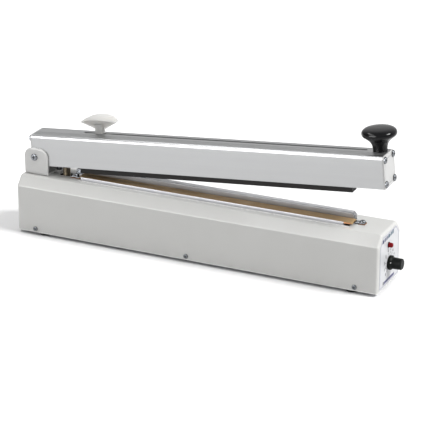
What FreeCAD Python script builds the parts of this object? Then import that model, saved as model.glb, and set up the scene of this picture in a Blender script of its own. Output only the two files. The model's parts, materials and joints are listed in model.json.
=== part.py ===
import FreeCAD, Part
import math
import os

# Impulse heat sealer with a sliding cutter, for plastic bags up to 400 mm wide.
# X runs from the hinge to the control panel, Y to the rear and Z up. Millimetres.
# Parts of the arm are drawn with the arm closed, and are then turned to its rest angle.

V = FreeCAD.Vector
X_AXIS = V(1, 0, 0)
Y_AXIS = V(0, 1, 0)
Z_AXIS = V(0, 0, 1)

# The whole model, between the left wall and the tip of the timer knob
LEFT_X = -2.0
TIP_X = 538.5
CENTRE_X = (LEFT_X + TIP_X) / 2

# Housing
END_X = 520.0
BODY_WIDTH = 78.0
HALF_WIDTH = BODY_WIDTH / 2
FOOT_HEIGHT = 4.0
WALL_HEIGHT = 63.3
CHAMFER_RISE = 13.1
CHAMFER_RUN = 12.5
SHEET = 1.5
END_CORNER_RADIUS = 3.5
BEND_RADIUS = 2.5
SHOULDER_Z = FOOT_HEIGHT + WALL_HEIGHT
TOP_Z = SHOULDER_Z + CHAMFER_RISE
INNER_HALF = HALF_WIDTH - SHEET
CEILING_Z = TOP_Z - SHEET

# Side screws that hold the housing to the bottom plate
SIDE_SCREW_X = (25.2, 252.1, 489.1)
SIDE_SCREW_Z = FOOT_HEIGHT + 5.0
SIDE_SCREW_RADIUS = 1.75
SIDE_HEAD_RADIUS = 3.3
SIDE_HEAD_HEIGHT = 1.6

# Bottom plate
PLATE_GAP = 0.3
FLANGE_HEIGHT = 12.0
TRAY_CORNER_RADIUS = 3.0
FLOOR_Z = FOOT_HEIGHT + SHEET
VENT_COUNT = 7
VENT_PITCH = 8.0
VENT_WIDTH = 3.0
VENT_LENGTH = 30.0

# Feet
FOOT_X = (35.5, 482.6)
FOOT_Y = 27.5
FOOT_RADIUS = 9.6
FOOT_SCREW_RADIUS = 2.0
FOOT_RECESS_RADIUS = 4.4
FOOT_RECESS_DEPTH = 1.6

# Screws
CLEARANCE = 0.15
FIT_GAP = 0.05
RECESS_DEPTH_SHARE = 0.5
RECESS_WIDTH_SHARE = 0.22
RECESS_LENGTH_SHARE = 1.2

# Control panel on the right-hand end
LABEL_THICKNESS = 0.4
LABEL_HALF_WIDTH = 33.0
LABEL_BOTTOM_Z = 6.5
LABEL_TOP_Z = 76.5
LABEL_SHOULDER_Z = 65.5
LABEL_TOP_HALF_WIDTH = 22.5
FACE_X = END_X + LABEL_THICKNESS
LAMP_Y = -4.0
LAMP_Z = 59.3
LAMP_RADIUS = 3.1
LAMP_BODY_DEPTH = 11.0
LAMP_STAND_OUT = 6.4
BEZEL_RADIUS = 3.9
BEZEL_HEIGHT = 0.8
DIAL_Z = 33.7
SHAFT_RADIUS = 3.0
RUNNING_GAP = 0.06
BUSH_RADIUS = 3.6
BUSH_END_X = FACE_X + 3.2
POT_RADIUS = 8.5
POT_DEPTH = 9.0
POT_NUT_FLATS = 10.0
POT_NUT_HEIGHT = 2.0
KNOB_START_X = FACE_X + 0.6
SKIRT_RADIUS = 9.4
SKIRT_THICKNESS = 4.2
GRIP_RADIUS = 7.5
GRIP_TIP_RADIUS = 7.3
KNOB_CAVITY_RADIUS = 7.0
KNOB_CAVITY_DEPTH = 3.4
POINTER_RADIUS = 0.9
POINTER_Y = -7.6
POINTER_RISE = 2.7

# Hinge
PIVOT_X = 17.4
PIVOT_Z = 105.1
EAR_LEFT_X = 1.2
EAR_RIGHT_X = 37.3
EAR_THICKNESS = 3.0
EAR_TOP_Z = 117.4
EAR_CORNER_RADIUS = 13.0
BRACKET_HALF_WIDTH = 21.3
BRACKET_FLOOR = 3.0
TONGUE_END_X = 45.5
TONGUE_Y = (-1.5, 14.0)
BRACKET_SCREWS = ((9.0, 0.0), (39.8, 6.3))
BRACKET_SCREW_RADIUS = 2.0
BRACKET_HEAD_RADIUS = 4.1
BRACKET_HEAD_HEIGHT = 2.6
BOLT_RADIUS = 2.2
BOLT_HEAD_RADIUS = 4.7
BOLT_HEAD_HEIGHT = 2.4
BOLT_NUT_FLATS = 8.0
BOLT_NUT_HEIGHT = 4.0
SPACER_RADIUS = 3.1

# Arm, drawn closed
REST_ANGLE = 5.2
ARM_LEFT_X = 12.1
ARM_LENGTH = 508.3
ARM_RIGHT_X = ARM_LEFT_X + ARM_LENGTH
ARM_HALF_WIDTH = 18.0
ARM_BOTTOM_Z = 92.4
ARM_HEIGHT = 42.9
ARM_TOP_Z = ARM_BOTTOM_Z + ARM_HEIGHT
ARM_WALL = 2.0
ARM_CORNER = 5.0
END_PLATE = 2.0
BEAM_LEFT_X = ARM_LEFT_X + END_PLATE
BEAM_RIGHT_X = ARM_RIGHT_X - END_PLATE
PORT_Y = 13.6
PORT_MARGIN = 5.6
PORT_RADIUS = 3.3
PORT_SCREW_RADIUS = 1.45
PORT_SCREW_LENGTH = 9.0
PORT_HEAD_RADIUS = 4.3
PORT_HEAD_HEIGHT = 2.0
LINE_Y = 5.5
SLOT_WIDTH = 4.4
SLOT_START_X = 84.0
SLOT_END_X = 490.0
TOP_GROOVES_Y = (-10.5, -7.0, -3.5, 12.0)
TOP_GROOVE_WIDTH = 1.0
TOP_GROOVE_DEPTH = 0.5
MOUTH_START_Y = 1.0
MOUTH_END_Y = 9.8
RIB_Y = (-7.2, -5.8)
RIB_DEPTH = 13.0

# Press strip under the arm
STRIP_START_X = 84.8
STRIP_END_X = 474.8
STRIP_Y = (-16.6, -1.6)
STRIP_BOTTOM_Z = 84.9
STRIP_EDGE = 1.2
HOLDER_THICKNESS = 1.3
HOLDER_Y = (-17.4, -0.8)

# Press knob
PRESS_KNOB_X = 507.2
# Radius and height of each level of the press knob
PRESS_KNOB_PROFILE = (
    (9.3, 0.0),
    (9.3, 3.0),
    (9.5, 5.0),
    (10.5, 9.0),
    (12.9, 13.0),
    (16.5, 16.5),
    (20.4, 19.6),
    (22.1, 21.6),
    (22.5, 24.0),
    (21.5, 26.6),
    (18.4, 28.9),
    (12.6, 30.3),
    (6.6, 30.9),
    (0.01, 31.0),
)
STUD_RADIUS = 3.0
STUD_LENGTH_ABOVE = 20.0
STUD_LENGTH_BELOW = 11.0
STUD_NUT_FLATS = 10.0
STUD_NUT_HEIGHT = 5.0

# Cutter
CUTTER_X = 108.0
STEM_RADIUS = 1.8
STEM_GRIP = 14.0
CUTTER_KNOB_GAP = 0.3
CUTTER_KNOB_BASE_Z = ARM_TOP_Z + CUTTER_KNOB_GAP
CUTTER_STEM_HALF_LENGTH = 5.8
CUTTER_STEM_HALF_WIDTH = 5.2
CUTTER_STEM_HEIGHT = 13.0
CUTTER_STEM_CORNER = 3.0
# Sections across the wing: place along the arm, half width, and heights of keel, rim and crown
CUTTER_WING = (
    (-28.2, 0.6, 13.5, 13.9, 14.4),
    (-26.3, 2.1, 12.8, 14.9, 15.8),
    (-24.0, 3.7, 12.0, 15.8, 17.2),
    (-20.0, 6.0, 10.5, 17.5, 19.7),
    (-15.0, 8.2, 8.8, 19.2, 22.0),
    (-10.0, 9.8, 6.8, 20.5, 24.0),
    (-5.0, 10.8, 5.2, 21.2, 25.3),
    (0.0, 11.2, 4.6, 21.5, 26.0),
    (5.0, 11.2, 5.0, 21.5, 26.3),
    (10.0, 10.8, 6.8, 21.2, 26.4),
    (15.0, 9.7, 9.9, 20.3, 26.0),
    (20.0, 8.0, 12.6, 19.0, 25.1),
    (24.0, 5.9, 14.8, 17.8, 23.9),
    (26.0, 4.6, 15.6, 17.1, 23.0),
    (27.0, 3.3, 16.1, 16.9, 22.3),
)
CARRIAGE_HALF_LENGTH = 13.0
CARRIAGE_Y = (-5.5, 9.7)
CARRIAGE_TOP_Z = ARM_TOP_Z - ARM_WALL - 0.3
CARRIAGE_HEIGHT = 22.0
BLADE_THICKNESS = 0.6
BLADE_HALF_LENGTH = 7.0
BLADE_TIP_Z = 83.4
BLADE_TOP_Z = 119.0
BLADE_SCREW_RADIUS = 1.4
BLADE_SCREW_HEAD = 2.6

# Lower jaw
JAW_START_X = 84.0
JAW_END_X = 463.0
JAW_FLANGE_Y = (-20.0, 17.0)
JAW_FLANGE_Z = (74.4, 78.7)
RAIL_Y = (-12.6, 2.5)
RAIL_TOP_Z = 83.9
SLOT_X = (83.0, 471.0)
JAW_SLOT_Y = (-16.5, 14.0)
LIP_WIDTH = 2.4
LIP_HEIGHT = 0.9
CLAMP_Y = (-14.5, -12.7)
CLAMP_Z = (78.8, 84.3)
TAPE_Y = (-10.5, -1.5)
TAPE_THICKNESS = 0.2
ELEMENT_Y = (-7.5, -4.5)
ELEMENT_X = (77.5, 471.0)
ELEMENT_THICKNESS = 0.2
ELEMENT_Z = 84.15
COVER_END_X = 474.0
COVER_Z = (84.4, 84.8)
COVER_Y = (-13.9, 2.4)
GUIDE_END_X = 470.0
GUIDE_Y = (2.8, 13.2)
GUIDE_TOP_Z = 90.4
GUIDE_GROOVE_WIDTH = 1.6
GUIDE_GROOVE_FLOOR_Z = 82.0
GUIDE_END_CHAMFER = 3.0
GUIDE_SHALLOW_Y = (9.4, 10.6)
GUIDE_SHALLOW_DEPTH = 0.7

# Terminals of the heating element
PAD_THICKNESS = 1.0
LEFT_PAD = ((67.0, 82.6), (-12.5, 4.8))
RIGHT_PAD = ((479.4, 488.0), (-5.6, 3.0))
TERMINAL_SHEET = 1.2
LEFT_FOOT = ((67.5, 80.5), (-11.5, 4.5))
LEFT_UPRIGHT_END_X = 83.5
LEFT_UPRIGHT_TOP_Z = 88.0
LEFT_STEP_Y = (-9.5, -2.5)
RIGHT_TONGUE_Y = (-9.0, -3.6)
RIGHT_FOOT_END_X = 487.6
RIGHT_FOOT_Y = (-4.9, 2.3)
TERMINAL_SCREWS = ((73.5, -4.3), (483.6, -1.3))
TAB_X = (463.4, 472.6)
TAB_Y = (-15.6, -3.4)
TAB_THICKNESS = 1.0
TERMINAL_SCREW_RADIUS = 1.9
TERMINAL_HEAD_RADIUS = 3.8
TERMINAL_HEAD_HEIGHT = 2.4

# Return spring, switch rod and micro switch, under the oval hole in the top
SPRING_X = 55.8
SPRING_Y = -2.5
SPRING_RADIUS = 4.6
SPRING_WIRE = 0.65
SPRING_PITCH = 1.9
SPRING_TOP_Z = 95.4
OVAL_X = (46.0, 66.0)
OVAL_HALF_WIDTH = 6.4
SEAT_Z = 66.0
SEAT_SHEET = 1.2
SEAT_X = (43.0, 72.0)
SEAT_Y = (-14.0, 10.0)
ROD_X = 54.0
ROD_RADIUS = 2.0
ROD_BOTTOM_Z = 69.6
PLUNGER_RADIUS = 1.5
PLUNGER_TOP_Z = 69.2
SWITCH_X = (44.0, 64.0)
SWITCH_HALF_DEPTH = 3.2
SWITCH_Z = (48.0, 64.5)

# Timer board
BOARD_X = (425.0, 500.0)
BOARD_HALF_WIDTH = 24.0
BOARD_Z = 13.5
BOARD_THICKNESS = 1.6
BOARD_HOLES_X = (430.0, 495.0)
BOARD_HOLE_Y = 19.5

# Transformer
CORE_X = (345.0, 411.0)
CORE_HALF_DEPTH = 18.0
CORE_HEIGHT = 54.0
CORE_LEG = 11.0
COIL_OVERHANG = 9.0
COIL_GAP = 0.4
CORE_FOOT = 8.0
CORE_FOOT_THICKNESS = 2.0

# Power inlet on the rear wall
INLET_X = 120.0
INLET_Z = 34.0
INLET_FLANGE = (50.0, 24.0, 1.5)
INLET_BODY = (27.5, 20.0, 23.0)
INLET_CAVITY = (25.0, 17.5, 16.5)
INLET_SCREW_OFFSET = 20.0
PIN_SIZE = (2.0, 12.0, 4.0)
PIN_PLACES = ((-7.0, -2.5), (7.0, -2.5), (0.0, 2.0))


def block(xs, ys, zs):
    """Box between two values on each axis."""
    size = (xs[1] - xs[0], ys[1] - ys[0], zs[1] - zs[0])
    return Part.makeBox(size[0], size[1], size[2], V(xs[0], ys[0], zs[0]))


def rod(radius, start, axis, length):
    """Cylinder from a start point along an axis."""
    return Part.makeCylinder(radius, length, start, axis)


def profile_along_x(points, start_x, end_x):
    """Closed outline of (y, z) points, drawn out along X."""
    corners = [V(start_x, y, z) for y, z in points]
    face = Part.Face(Part.makePolygon(corners + [corners[0]]))
    return face.extrude(V(end_x - start_x, 0, 0))


def revolved(points, smooth, place, axis):
    """Solid of revolution of (radius, height) points about an axis through place."""
    path = [V(radius, 0, height) for radius, height in points]
    foot = V(0, 0, path[0].z)
    head = V(0, 0, path[-1].z)
    if smooth:
        curve = Part.BSplineCurve()
        curve.interpolate(path)
        side = [curve.toShape()]
    else:
        side = [Part.makeLine(a, b) for a, b in zip(path, path[1:])]
    below = [Part.makeLine(foot, path[0])]
    above = [Part.makeLine(path[-1], head), Part.makeLine(head, foot)]
    solid = Part.Face(Part.Wire(below + side + above)).revolve(V(0, 0, 0), Z_AXIS, 360)
    solid = Part.Solid(solid.Shells[0])
    solid.Placement = FreeCAD.Placement(place, FreeCAD.Rotation(Z_AXIS, axis))
    return solid


def hexagon(flats, height, start, axis):
    """Hexagonal prism across flats, from a start point along an axis."""
    corner = flats / math.sqrt(3)
    angles = [math.radians(60 * i) for i in range(6)]
    points = [V(corner * math.cos(angle), corner * math.sin(angle), 0) for angle in angles]
    prism = Part.Face(Part.makePolygon(points + [points[0]])).extrude(V(0, 0, height))
    prism.Placement = FreeCAD.Placement(start, FreeCAD.Rotation(Z_AXIS, axis))
    return prism


def pan_screw(seat, outward, shank_radius, shank_length, head_radius, head_height):
    """Pan-head screw with a cross recess. Its head stands on seat and points outward."""
    head = Part.makeCylinder(head_radius, head_height)
    rim = nearest_edges(head, lambda c, b: b.ZMin > head_height / 2 and b.XLength > head_radius)
    head = head.makeFillet(head_height * 0.55, rim)
    depth = head_height * RECESS_DEPTH_SHARE
    width = head_radius * RECESS_WIDTH_SHARE
    length = head_radius * RECESS_LENGTH_SHARE
    for size_x, size_y in ((length, width), (width, length)):
        slot = Part.makeBox(size_x, size_y, depth, V(-size_x / 2, -size_y / 2, head_height - depth))
        head = head.cut(slot)
    shank = Part.makeCylinder(shank_radius, shank_length, V(0, 0, -shank_length))
    screw = head.fuse(shank).removeSplitter()
    screw.Placement = FreeCAD.Placement(seat, FreeCAD.Rotation(Z_AXIS, outward))
    return screw


def nearest_edges(shape, test):
    """Edges of a shape whose centre and box pass a test."""
    return [edge for edge in shape.Edges if test(edge.CenterOfMass, edge.BoundBox)]


def housing_outline(inset):
    """Outline of the housing in Y and Z, moved in by a wall thickness."""
    slant = inset * math.tan(math.radians(22.5))
    side = HALF_WIDTH - inset
    top = TOP_Z - inset
    crown = HALF_WIDTH - CHAMFER_RUN - slant
    shoulder = SHOULDER_Z - slant
    rising = [(-side, FOOT_HEIGHT), (-side, shoulder), (-crown, top)]
    falling = [(-y, z) for y, z in reversed(rising)]
    return rising + falling


def side_screw_places():
    """Seat and direction of each side screw, front row first."""
    places = []
    for side in (-1, 1):
        for x in SIDE_SCREW_X:
            places.append((V(x, side * HALF_WIDTH, SIDE_SCREW_Z), V(0, side, 0)))
    return places


def foot_places():
    """Centre of each foot on the underside."""
    return [V(x, y, 0) for x in FOOT_X for y in (-FOOT_Y, FOOT_Y)]


def oval_hole(bottom_z, top_z):
    """Oval cutter with its long side along X, for the return spring and the rod."""
    left = OVAL_X[0] + OVAL_HALF_WIDTH
    right = OVAL_X[1] - OVAL_HALF_WIDTH
    height = top_z - bottom_z
    ends = [rod(OVAL_HALF_WIDTH, V(x, SPRING_Y, bottom_z), Z_AXIS, height) for x in (left, right)]
    ys = (SPRING_Y - OVAL_HALF_WIDTH, SPRING_Y + OVAL_HALF_WIDTH)
    return block((left, right), ys, (bottom_z, top_z)).fuse(ends)


def base_housing():
    """Painted sheet-steel cover, open below, with slots for the jaw, spring and panel parts."""
    outer = profile_along_x(housing_outline(0), LEFT_X, END_X)
    bends = nearest_edges(outer, lambda c, b: b.XLength > END_X / 2 and c.z > FOOT_HEIGHT + 1)
    outer = outer.makeFillet(BEND_RADIUS, bends)
    ends = nearest_edges(outer, lambda c, b: b.XLength < 0.01 and c.z > FOOT_HEIGHT + 1)
    outer = outer.makeFillet(END_CORNER_RADIUS, ends)
    inner = profile_along_x(housing_outline(SHEET), LEFT_X + SHEET, END_X - SHEET)
    corners = nearest_edges(inner, lambda c, b: b.XLength < 0.01 and c.z > FOOT_HEIGHT + 1)
    inner = inner.makeFillet(END_CORNER_RADIUS - SHEET, corners)
    shell = outer.cut(inner)
    lip_ys = (JAW_SLOT_Y[0] - LIP_WIDTH, JAW_SLOT_Y[0])
    lip = block(SLOT_X, lip_ys, (CEILING_Z + 0.5, TOP_Z + LIP_HEIGHT))
    lip_edges = nearest_edges(lip, lambda c, b: b.XLength > 100 and c.z > TOP_Z)
    shell = shell.fuse(lip.makeFillet(LIP_HEIGHT * 0.8, lip_edges))
    shell = shell.cut(block(SLOT_X, JAW_SLOT_Y, (CEILING_Z - 5, TOP_Z + 5)))
    shell = shell.cut(oval_hole(CEILING_Z - 5, TOP_Z + 5))
    for seat, outward in side_screw_places():
        shell = shell.cut(rod(SIDE_SCREW_RADIUS + CLEARANCE, seat - outward * 5, outward, 10))
    for x, y in BRACKET_SCREWS:
        shell = shell.cut(rod(BRACKET_SCREW_RADIUS + CLEARANCE, V(x, y, CEILING_Z - 5), Z_AXIS, 10))
    for x, y in TERMINAL_SCREWS:
        shell = shell.cut(rod(TERMINAL_SCREW_RADIUS + CLEARANCE, V(x, y, CEILING_Z - 5), Z_AXIS, 10))
    shell = shell.cut(rod(LAMP_RADIUS + CLEARANCE, V(END_X - 5, LAMP_Y, LAMP_Z), X_AXIS, 10))
    shell = shell.cut(rod(BUSH_RADIUS + CLEARANCE, V(END_X - 5, 0, DIAL_Z), X_AXIS, 10))
    shell = shell.cut(inlet_block(INLET_BODY, CLEARANCE, HALF_WIDTH + 5))
    for side in (-1, 1):
        hole = V(INLET_X + side * INLET_SCREW_OFFSET, HALF_WIDTH - 5, INLET_Z)
        shell = shell.cut(rod(1.5 + CLEARANCE, hole, Y_AXIS, 10))
    return shell.removeSplitter()


def bottom_plate():
    """Tray that closes the housing from below, with a flange along each long side."""
    half = INNER_HALF - 0.05
    xs = (LEFT_X + SHEET + PLATE_GAP, END_X - SHEET - PLATE_GAP)
    tray = block(xs, (-half, half), (FOOT_HEIGHT, FLOOR_Z))
    tray = tray.makeFillet(TRAY_CORNER_RADIUS, nearest_edges(tray, lambda c, b: b.ZLength > 1))
    for side in (-1, 1):
        ys = sorted((side * half, side * (half - SHEET)))
        tray = tray.fuse(block((xs[0] + 8, xs[1] - 8), ys, (FOOT_HEIGHT, FOOT_HEIGHT + FLANGE_HEIGHT)))
    for seat, outward in side_screw_places():
        tray = tray.cut(rod(SIDE_SCREW_RADIUS + CLEARANCE, seat - outward * 8, outward, 10))
    for place in foot_places():
        tray = tray.cut(rod(FOOT_SCREW_RADIUS + CLEARANCE, place, Z_AXIS, 10))
    for x, y in transformer_hole_places() + board_hole_places():
        tray = tray.cut(rod(1.5 + CLEARANCE, V(x, y, 0), Z_AXIS, 10))
    for i in range(VENT_COUNT):
        x = (CORE_X[0] + CORE_X[1]) / 2 - 150 + i * VENT_PITCH
        tray = tray.cut(block((x, x + VENT_WIDTH), (-VENT_LENGTH / 2, VENT_LENGTH / 2), (0, 10)))
    return tray.removeSplitter()


def housing_screws():
    """Six cross-head screws along the lower edges of the front and rear walls."""
    length = SHEET * 2 + 2
    return [
        pan_screw(seat, outward, SIDE_SCREW_RADIUS, length, SIDE_HEAD_RADIUS, SIDE_HEAD_HEIGHT)
        for seat, outward in side_screw_places()
    ]


def rubber_feet():
    """Four round rubber feet with a recess for the screw head."""
    feet = []
    for place in foot_places():
        foot = Part.makeCone(FOOT_RADIUS - 0.6, FOOT_RADIUS, FOOT_HEIGHT, place)
        foot = foot.cut(rod(FOOT_SCREW_RADIUS + CLEARANCE, place, Z_AXIS, FOOT_HEIGHT))
        foot = foot.cut(rod(FOOT_RECESS_RADIUS, place, Z_AXIS, FOOT_RECESS_DEPTH + 0.8))
        feet.append(foot)
    return feet


def foot_screws():
    """Four screws that hold the feet to the bottom plate."""
    length = FOOT_HEIGHT - FOOT_RECESS_DEPTH + 2
    down = V(0, 0, -1)
    lift = V(0, 0, FOOT_RECESS_DEPTH + 0.8)
    return [
        pan_screw(place + lift, down, FOOT_SCREW_RADIUS, length, FOOT_RECESS_RADIUS - 0.6, FOOT_RECESS_DEPTH)
        for place in foot_places()
    ]


def panel_label():
    """Thin printed plate on the right-hand end, cut to the shape of the end."""
    outline = [
        (-LABEL_HALF_WIDTH, LABEL_BOTTOM_Z),
        (-LABEL_HALF_WIDTH, LABEL_SHOULDER_Z),
        (-LABEL_TOP_HALF_WIDTH, LABEL_TOP_Z),
        (LABEL_TOP_HALF_WIDTH, LABEL_TOP_Z),
        (LABEL_HALF_WIDTH, LABEL_SHOULDER_Z),
        (LABEL_HALF_WIDTH, LABEL_BOTTOM_Z),
    ]
    label = profile_along_x(outline, END_X, FACE_X)
    label = label.cut(rod(LAMP_RADIUS + CLEARANCE, V(END_X - 1, LAMP_Y, LAMP_Z), X_AXIS, 3))
    return label.cut(rod(BUSH_RADIUS + CLEARANCE, V(END_X - 1, 0, DIAL_Z), X_AXIS, 3))


def indicator_lamp():
    """Red lamp with a domed lens, pushed through the panel."""
    start = FACE_X - LAMP_BODY_DEPTH
    shoulder = LAMP_BODY_DEPTH + LAMP_STAND_OUT - 1.7
    points = [
        (LAMP_RADIUS, 0),
        (LAMP_RADIUS, shoulder),
        (LAMP_RADIUS * 0.85, shoulder + 0.9),
        (LAMP_RADIUS * 0.45, shoulder + 1.5),
        (0.01, shoulder + 1.7),
    ]
    return revolved(points, False, V(start, LAMP_Y, LAMP_Z), X_AXIS)


def lamp_bezel():
    """Ring around the lamp."""
    ring = rod(BEZEL_RADIUS, V(FACE_X, LAMP_Y, LAMP_Z), X_AXIS, BEZEL_HEIGHT)
    rim = nearest_edges(ring, lambda c, b: c.x > FACE_X + BEZEL_HEIGHT / 2 and b.XLength < 0.01)
    ring = ring.makeFillet(BEZEL_HEIGHT / 2, rim)
    return ring.cut(rod(LAMP_RADIUS + CLEARANCE, V(FACE_X - 1, LAMP_Y, LAMP_Z), X_AXIS, 5))


def timer_potentiometer():
    """Round potentiometer behind the panel, with its threaded bush through the wall."""
    back_x = END_X - SHEET - POT_DEPTH
    body = rod(POT_RADIUS, V(back_x, 0, DIAL_Z), X_AXIS, POT_DEPTH)
    lugs = block((back_x + 2, back_x + 4), (-6, 6), (DIAL_Z - POT_RADIUS - 4, DIAL_Z - 2))
    bush = rod(BUSH_RADIUS, V(back_x + 1, 0, DIAL_Z), X_AXIS, BUSH_END_X - back_x - 1)
    solid = body.fuse([lugs, bush]).removeSplitter()
    return solid.cut(rod(SHAFT_RADIUS + RUNNING_GAP, V(back_x + 3, 0, DIAL_Z), X_AXIS, 40))


def potentiometer_nut():
    """Hexagonal nut that clamps the potentiometer to the panel, under the knob."""
    nut = hexagon(POT_NUT_FLATS, POT_NUT_HEIGHT, V(FACE_X, 0, DIAL_Z), X_AXIS)
    return nut.cut(rod(BUSH_RADIUS + CLEARANCE, V(FACE_X - 1, 0, DIAL_Z), X_AXIS, 5))


def timer_shaft():
    """Turning shaft of the potentiometer."""
    start = END_X - SHEET - POT_DEPTH + 3.5
    return rod(SHAFT_RADIUS, V(start, 0, DIAL_Z), X_AXIS, TIP_X - 6 - start)


def timer_knob():
    """Black control knob with a skirt, hollow below so that it covers the nut."""
    length = TIP_X - KNOB_START_X
    points = [
        (SKIRT_RADIUS, 0),
        (SKIRT_RADIUS, SKIRT_THICKNESS - 1.2),
        (SKIRT_RADIUS - 1.2, SKIRT_THICKNESS),
        (GRIP_RADIUS + 0.4, SKIRT_THICKNESS + 0.4),
        (GRIP_RADIUS, SKIRT_THICKNESS + 1.4),
        (GRIP_TIP_RADIUS, length - 1),
        (GRIP_TIP_RADIUS - 1, length),
    ]
    knob = revolved(points, False, V(KNOB_START_X, 0, DIAL_Z), X_AXIS)
    knob = knob.cut(rod(KNOB_CAVITY_RADIUS, V(KNOB_START_X, 0, DIAL_Z), X_AXIS, KNOB_CAVITY_DEPTH))
    knob = knob.cut(rod(SHAFT_RADIUS + CLEARANCE, V(KNOB_START_X, 0, DIAL_Z), X_AXIS, length - 5.5))
    return knob.cut(pointer_pin(0.0))


def pointer_pin(sink):
    """Pointer pin in the skirt, towards the front."""
    start = KNOB_START_X + SKIRT_THICKNESS - 1.4
    return rod(POINTER_RADIUS, V(start, POINTER_Y, DIAL_Z + POINTER_RISE), X_AXIS, 1.9 - sink)


def knob_pointer():
    """White pointer dot set in the skirt of the timer knob."""
    return pointer_pin(0.1)


def board_hole_places():
    """Fixing holes of the timer board."""
    return [(x, y) for x in BOARD_HOLES_X for y in (-BOARD_HOLE_Y, BOARD_HOLE_Y)]


def circuit_board():
    """Board that times the heating pulse."""
    ys = (-BOARD_HALF_WIDTH, BOARD_HALF_WIDTH)
    board = block(BOARD_X, ys, (BOARD_Z, BOARD_Z + BOARD_THICKNESS))
    for x, y in board_hole_places():
        board = board.cut(rod(1.5 + CLEARANCE, V(x, y, 0), Z_AXIS, 30))
    return board


def board_standoffs():
    """Four posts under the board."""
    posts = []
    for x, y in board_hole_places():
        post = hexagon(6.0, BOARD_Z - FLOOR_Z, V(x, y, FLOOR_Z), Z_AXIS)
        posts.append(post.cut(rod(1.5 + CLEARANCE, V(x, y, 0), Z_AXIS, 30)))
    return posts


def board_screws():
    """Four screws through the board and its posts."""
    seat_z = BOARD_Z + BOARD_THICKNESS
    return [pan_screw(V(x, y, seat_z), Z_AXIS, 1.5, 10, 2.8, 1.8) for x, y in board_hole_places()]


def timing_relay():
    """Relay that switches the transformer."""
    seat_z = BOARD_Z + BOARD_THICKNESS
    return block((440, 459), (-9, 6.5), (seat_z, seat_z + 15.5))


def board_capacitors():
    """Two capacitors of the timing circuit."""
    seat_z = BOARD_Z + BOARD_THICKNESS
    return [rod(4.0, V(x, y, seat_z), Z_AXIS, 12) for x, y in ((470, -14), (470, 14))]


def transformer_hole_places():
    """Screw holes in the feet of the transformer."""
    xs = (CORE_X[0] - CORE_FOOT / 2, CORE_X[1] + CORE_FOOT / 2)
    return [(x, y) for x in xs for y in (-10.0, 10.0)]


def transformer_core():
    """Laminated core with two windows and a foot at each end."""
    ys = (-CORE_HALF_DEPTH, CORE_HALF_DEPTH)
    top = FLOOR_Z + CORE_HEIGHT
    core = block(CORE_X, ys, (FLOOR_Z, top))
    middle = (CORE_X[0] + CORE_X[1]) / 2
    windows = (
        (CORE_X[0] + CORE_LEG, middle - CORE_LEG),
        (middle + CORE_LEG, CORE_X[1] - CORE_LEG),
    )
    for window in windows:
        core = core.cut(block(window, ys, (FLOOR_Z + CORE_LEG, top - CORE_LEG)))
    foot_xs = (CORE_X[0] - CORE_FOOT, CORE_X[1] + CORE_FOOT)
    core = core.fuse(block(foot_xs, ys, (FLOOR_Z, FLOOR_Z + CORE_FOOT_THICKNESS)))
    for x, y in transformer_hole_places():
        core = core.cut(rod(1.5 + CLEARANCE, V(x, y, 0), Z_AXIS, 15))
    return core.removeSplitter()


def transformer_coil():
    """Winding around the middle leg of the core."""
    middle = (CORE_X[0] + CORE_X[1]) / 2
    half = (CORE_X[1] - CORE_X[0]) / 2 - CORE_LEG - COIL_GAP
    reach = CORE_HALF_DEPTH + COIL_OVERHANG
    zs = (FLOOR_Z + CORE_LEG + COIL_GAP, FLOOR_Z + CORE_HEIGHT - CORE_LEG - COIL_GAP)
    coil = block((middle - half, middle + half), (-reach, reach), zs)
    corners = nearest_edges(coil, lambda c, b: b.ZLength > 10)
    coil = coil.makeFillet(5.0, corners)
    leg = CORE_LEG + COIL_GAP
    depth = CORE_HALF_DEPTH + COIL_GAP
    return coil.cut(block((middle - leg, middle + leg), (-depth, depth), zs))


def transformer_screws():
    """Four screws through the feet of the core."""
    seat_z = FLOOR_Z + CORE_FOOT_THICKNESS
    return [pan_screw(V(x, y, seat_z), Z_AXIS, 1.5, 5, 2.8, 1.8) for x, y in transformer_hole_places()]


def spring_seat():
    """Bent bracket hung under the top, which carries the spring and the micro switch."""
    top = SEAT_Z + SEAT_SHEET
    seat = block(SEAT_X, SEAT_Y, (SEAT_Z, top))
    for xs in ((SEAT_X[0], SEAT_X[0] + SEAT_SHEET), (SEAT_X[1] - SEAT_SHEET, SEAT_X[1])):
        seat = seat.fuse(block(xs, SEAT_Y, (SEAT_Z, CEILING_Z)))
    tab_ys = (SPRING_Y + SWITCH_HALF_DEPTH + 0.1, SPRING_Y + SWITCH_HALF_DEPTH + 0.1 + SEAT_SHEET)
    seat = seat.fuse(block(SWITCH_X, tab_ys, (SWITCH_Z[0] + 2, top)))
    seat = seat.cut(rod(PLUNGER_RADIUS + 0.4, V(ROD_X, SPRING_Y, SEAT_Z - 1), Z_AXIS, 5))
    x, y = TERMINAL_SCREWS[0]
    seat = seat.cut(rod(TERMINAL_SCREW_RADIUS + 1.5, V(x, y, SEAT_Z), Z_AXIS, 13))
    for x, z in switch_screw_places():
        seat = seat.cut(rod(1.1 + CLEARANCE, V(x, SPRING_Y, z), Y_AXIS, 10))
    return seat.removeSplitter()


def switch_screw_places():
    """Fixing holes of the micro switch in X and Z."""
    return [(SWITCH_X[0] + 5, SWITCH_Z[0] + 5), (SWITCH_X[1] - 5, SWITCH_Z[0] + 5)]


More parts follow.
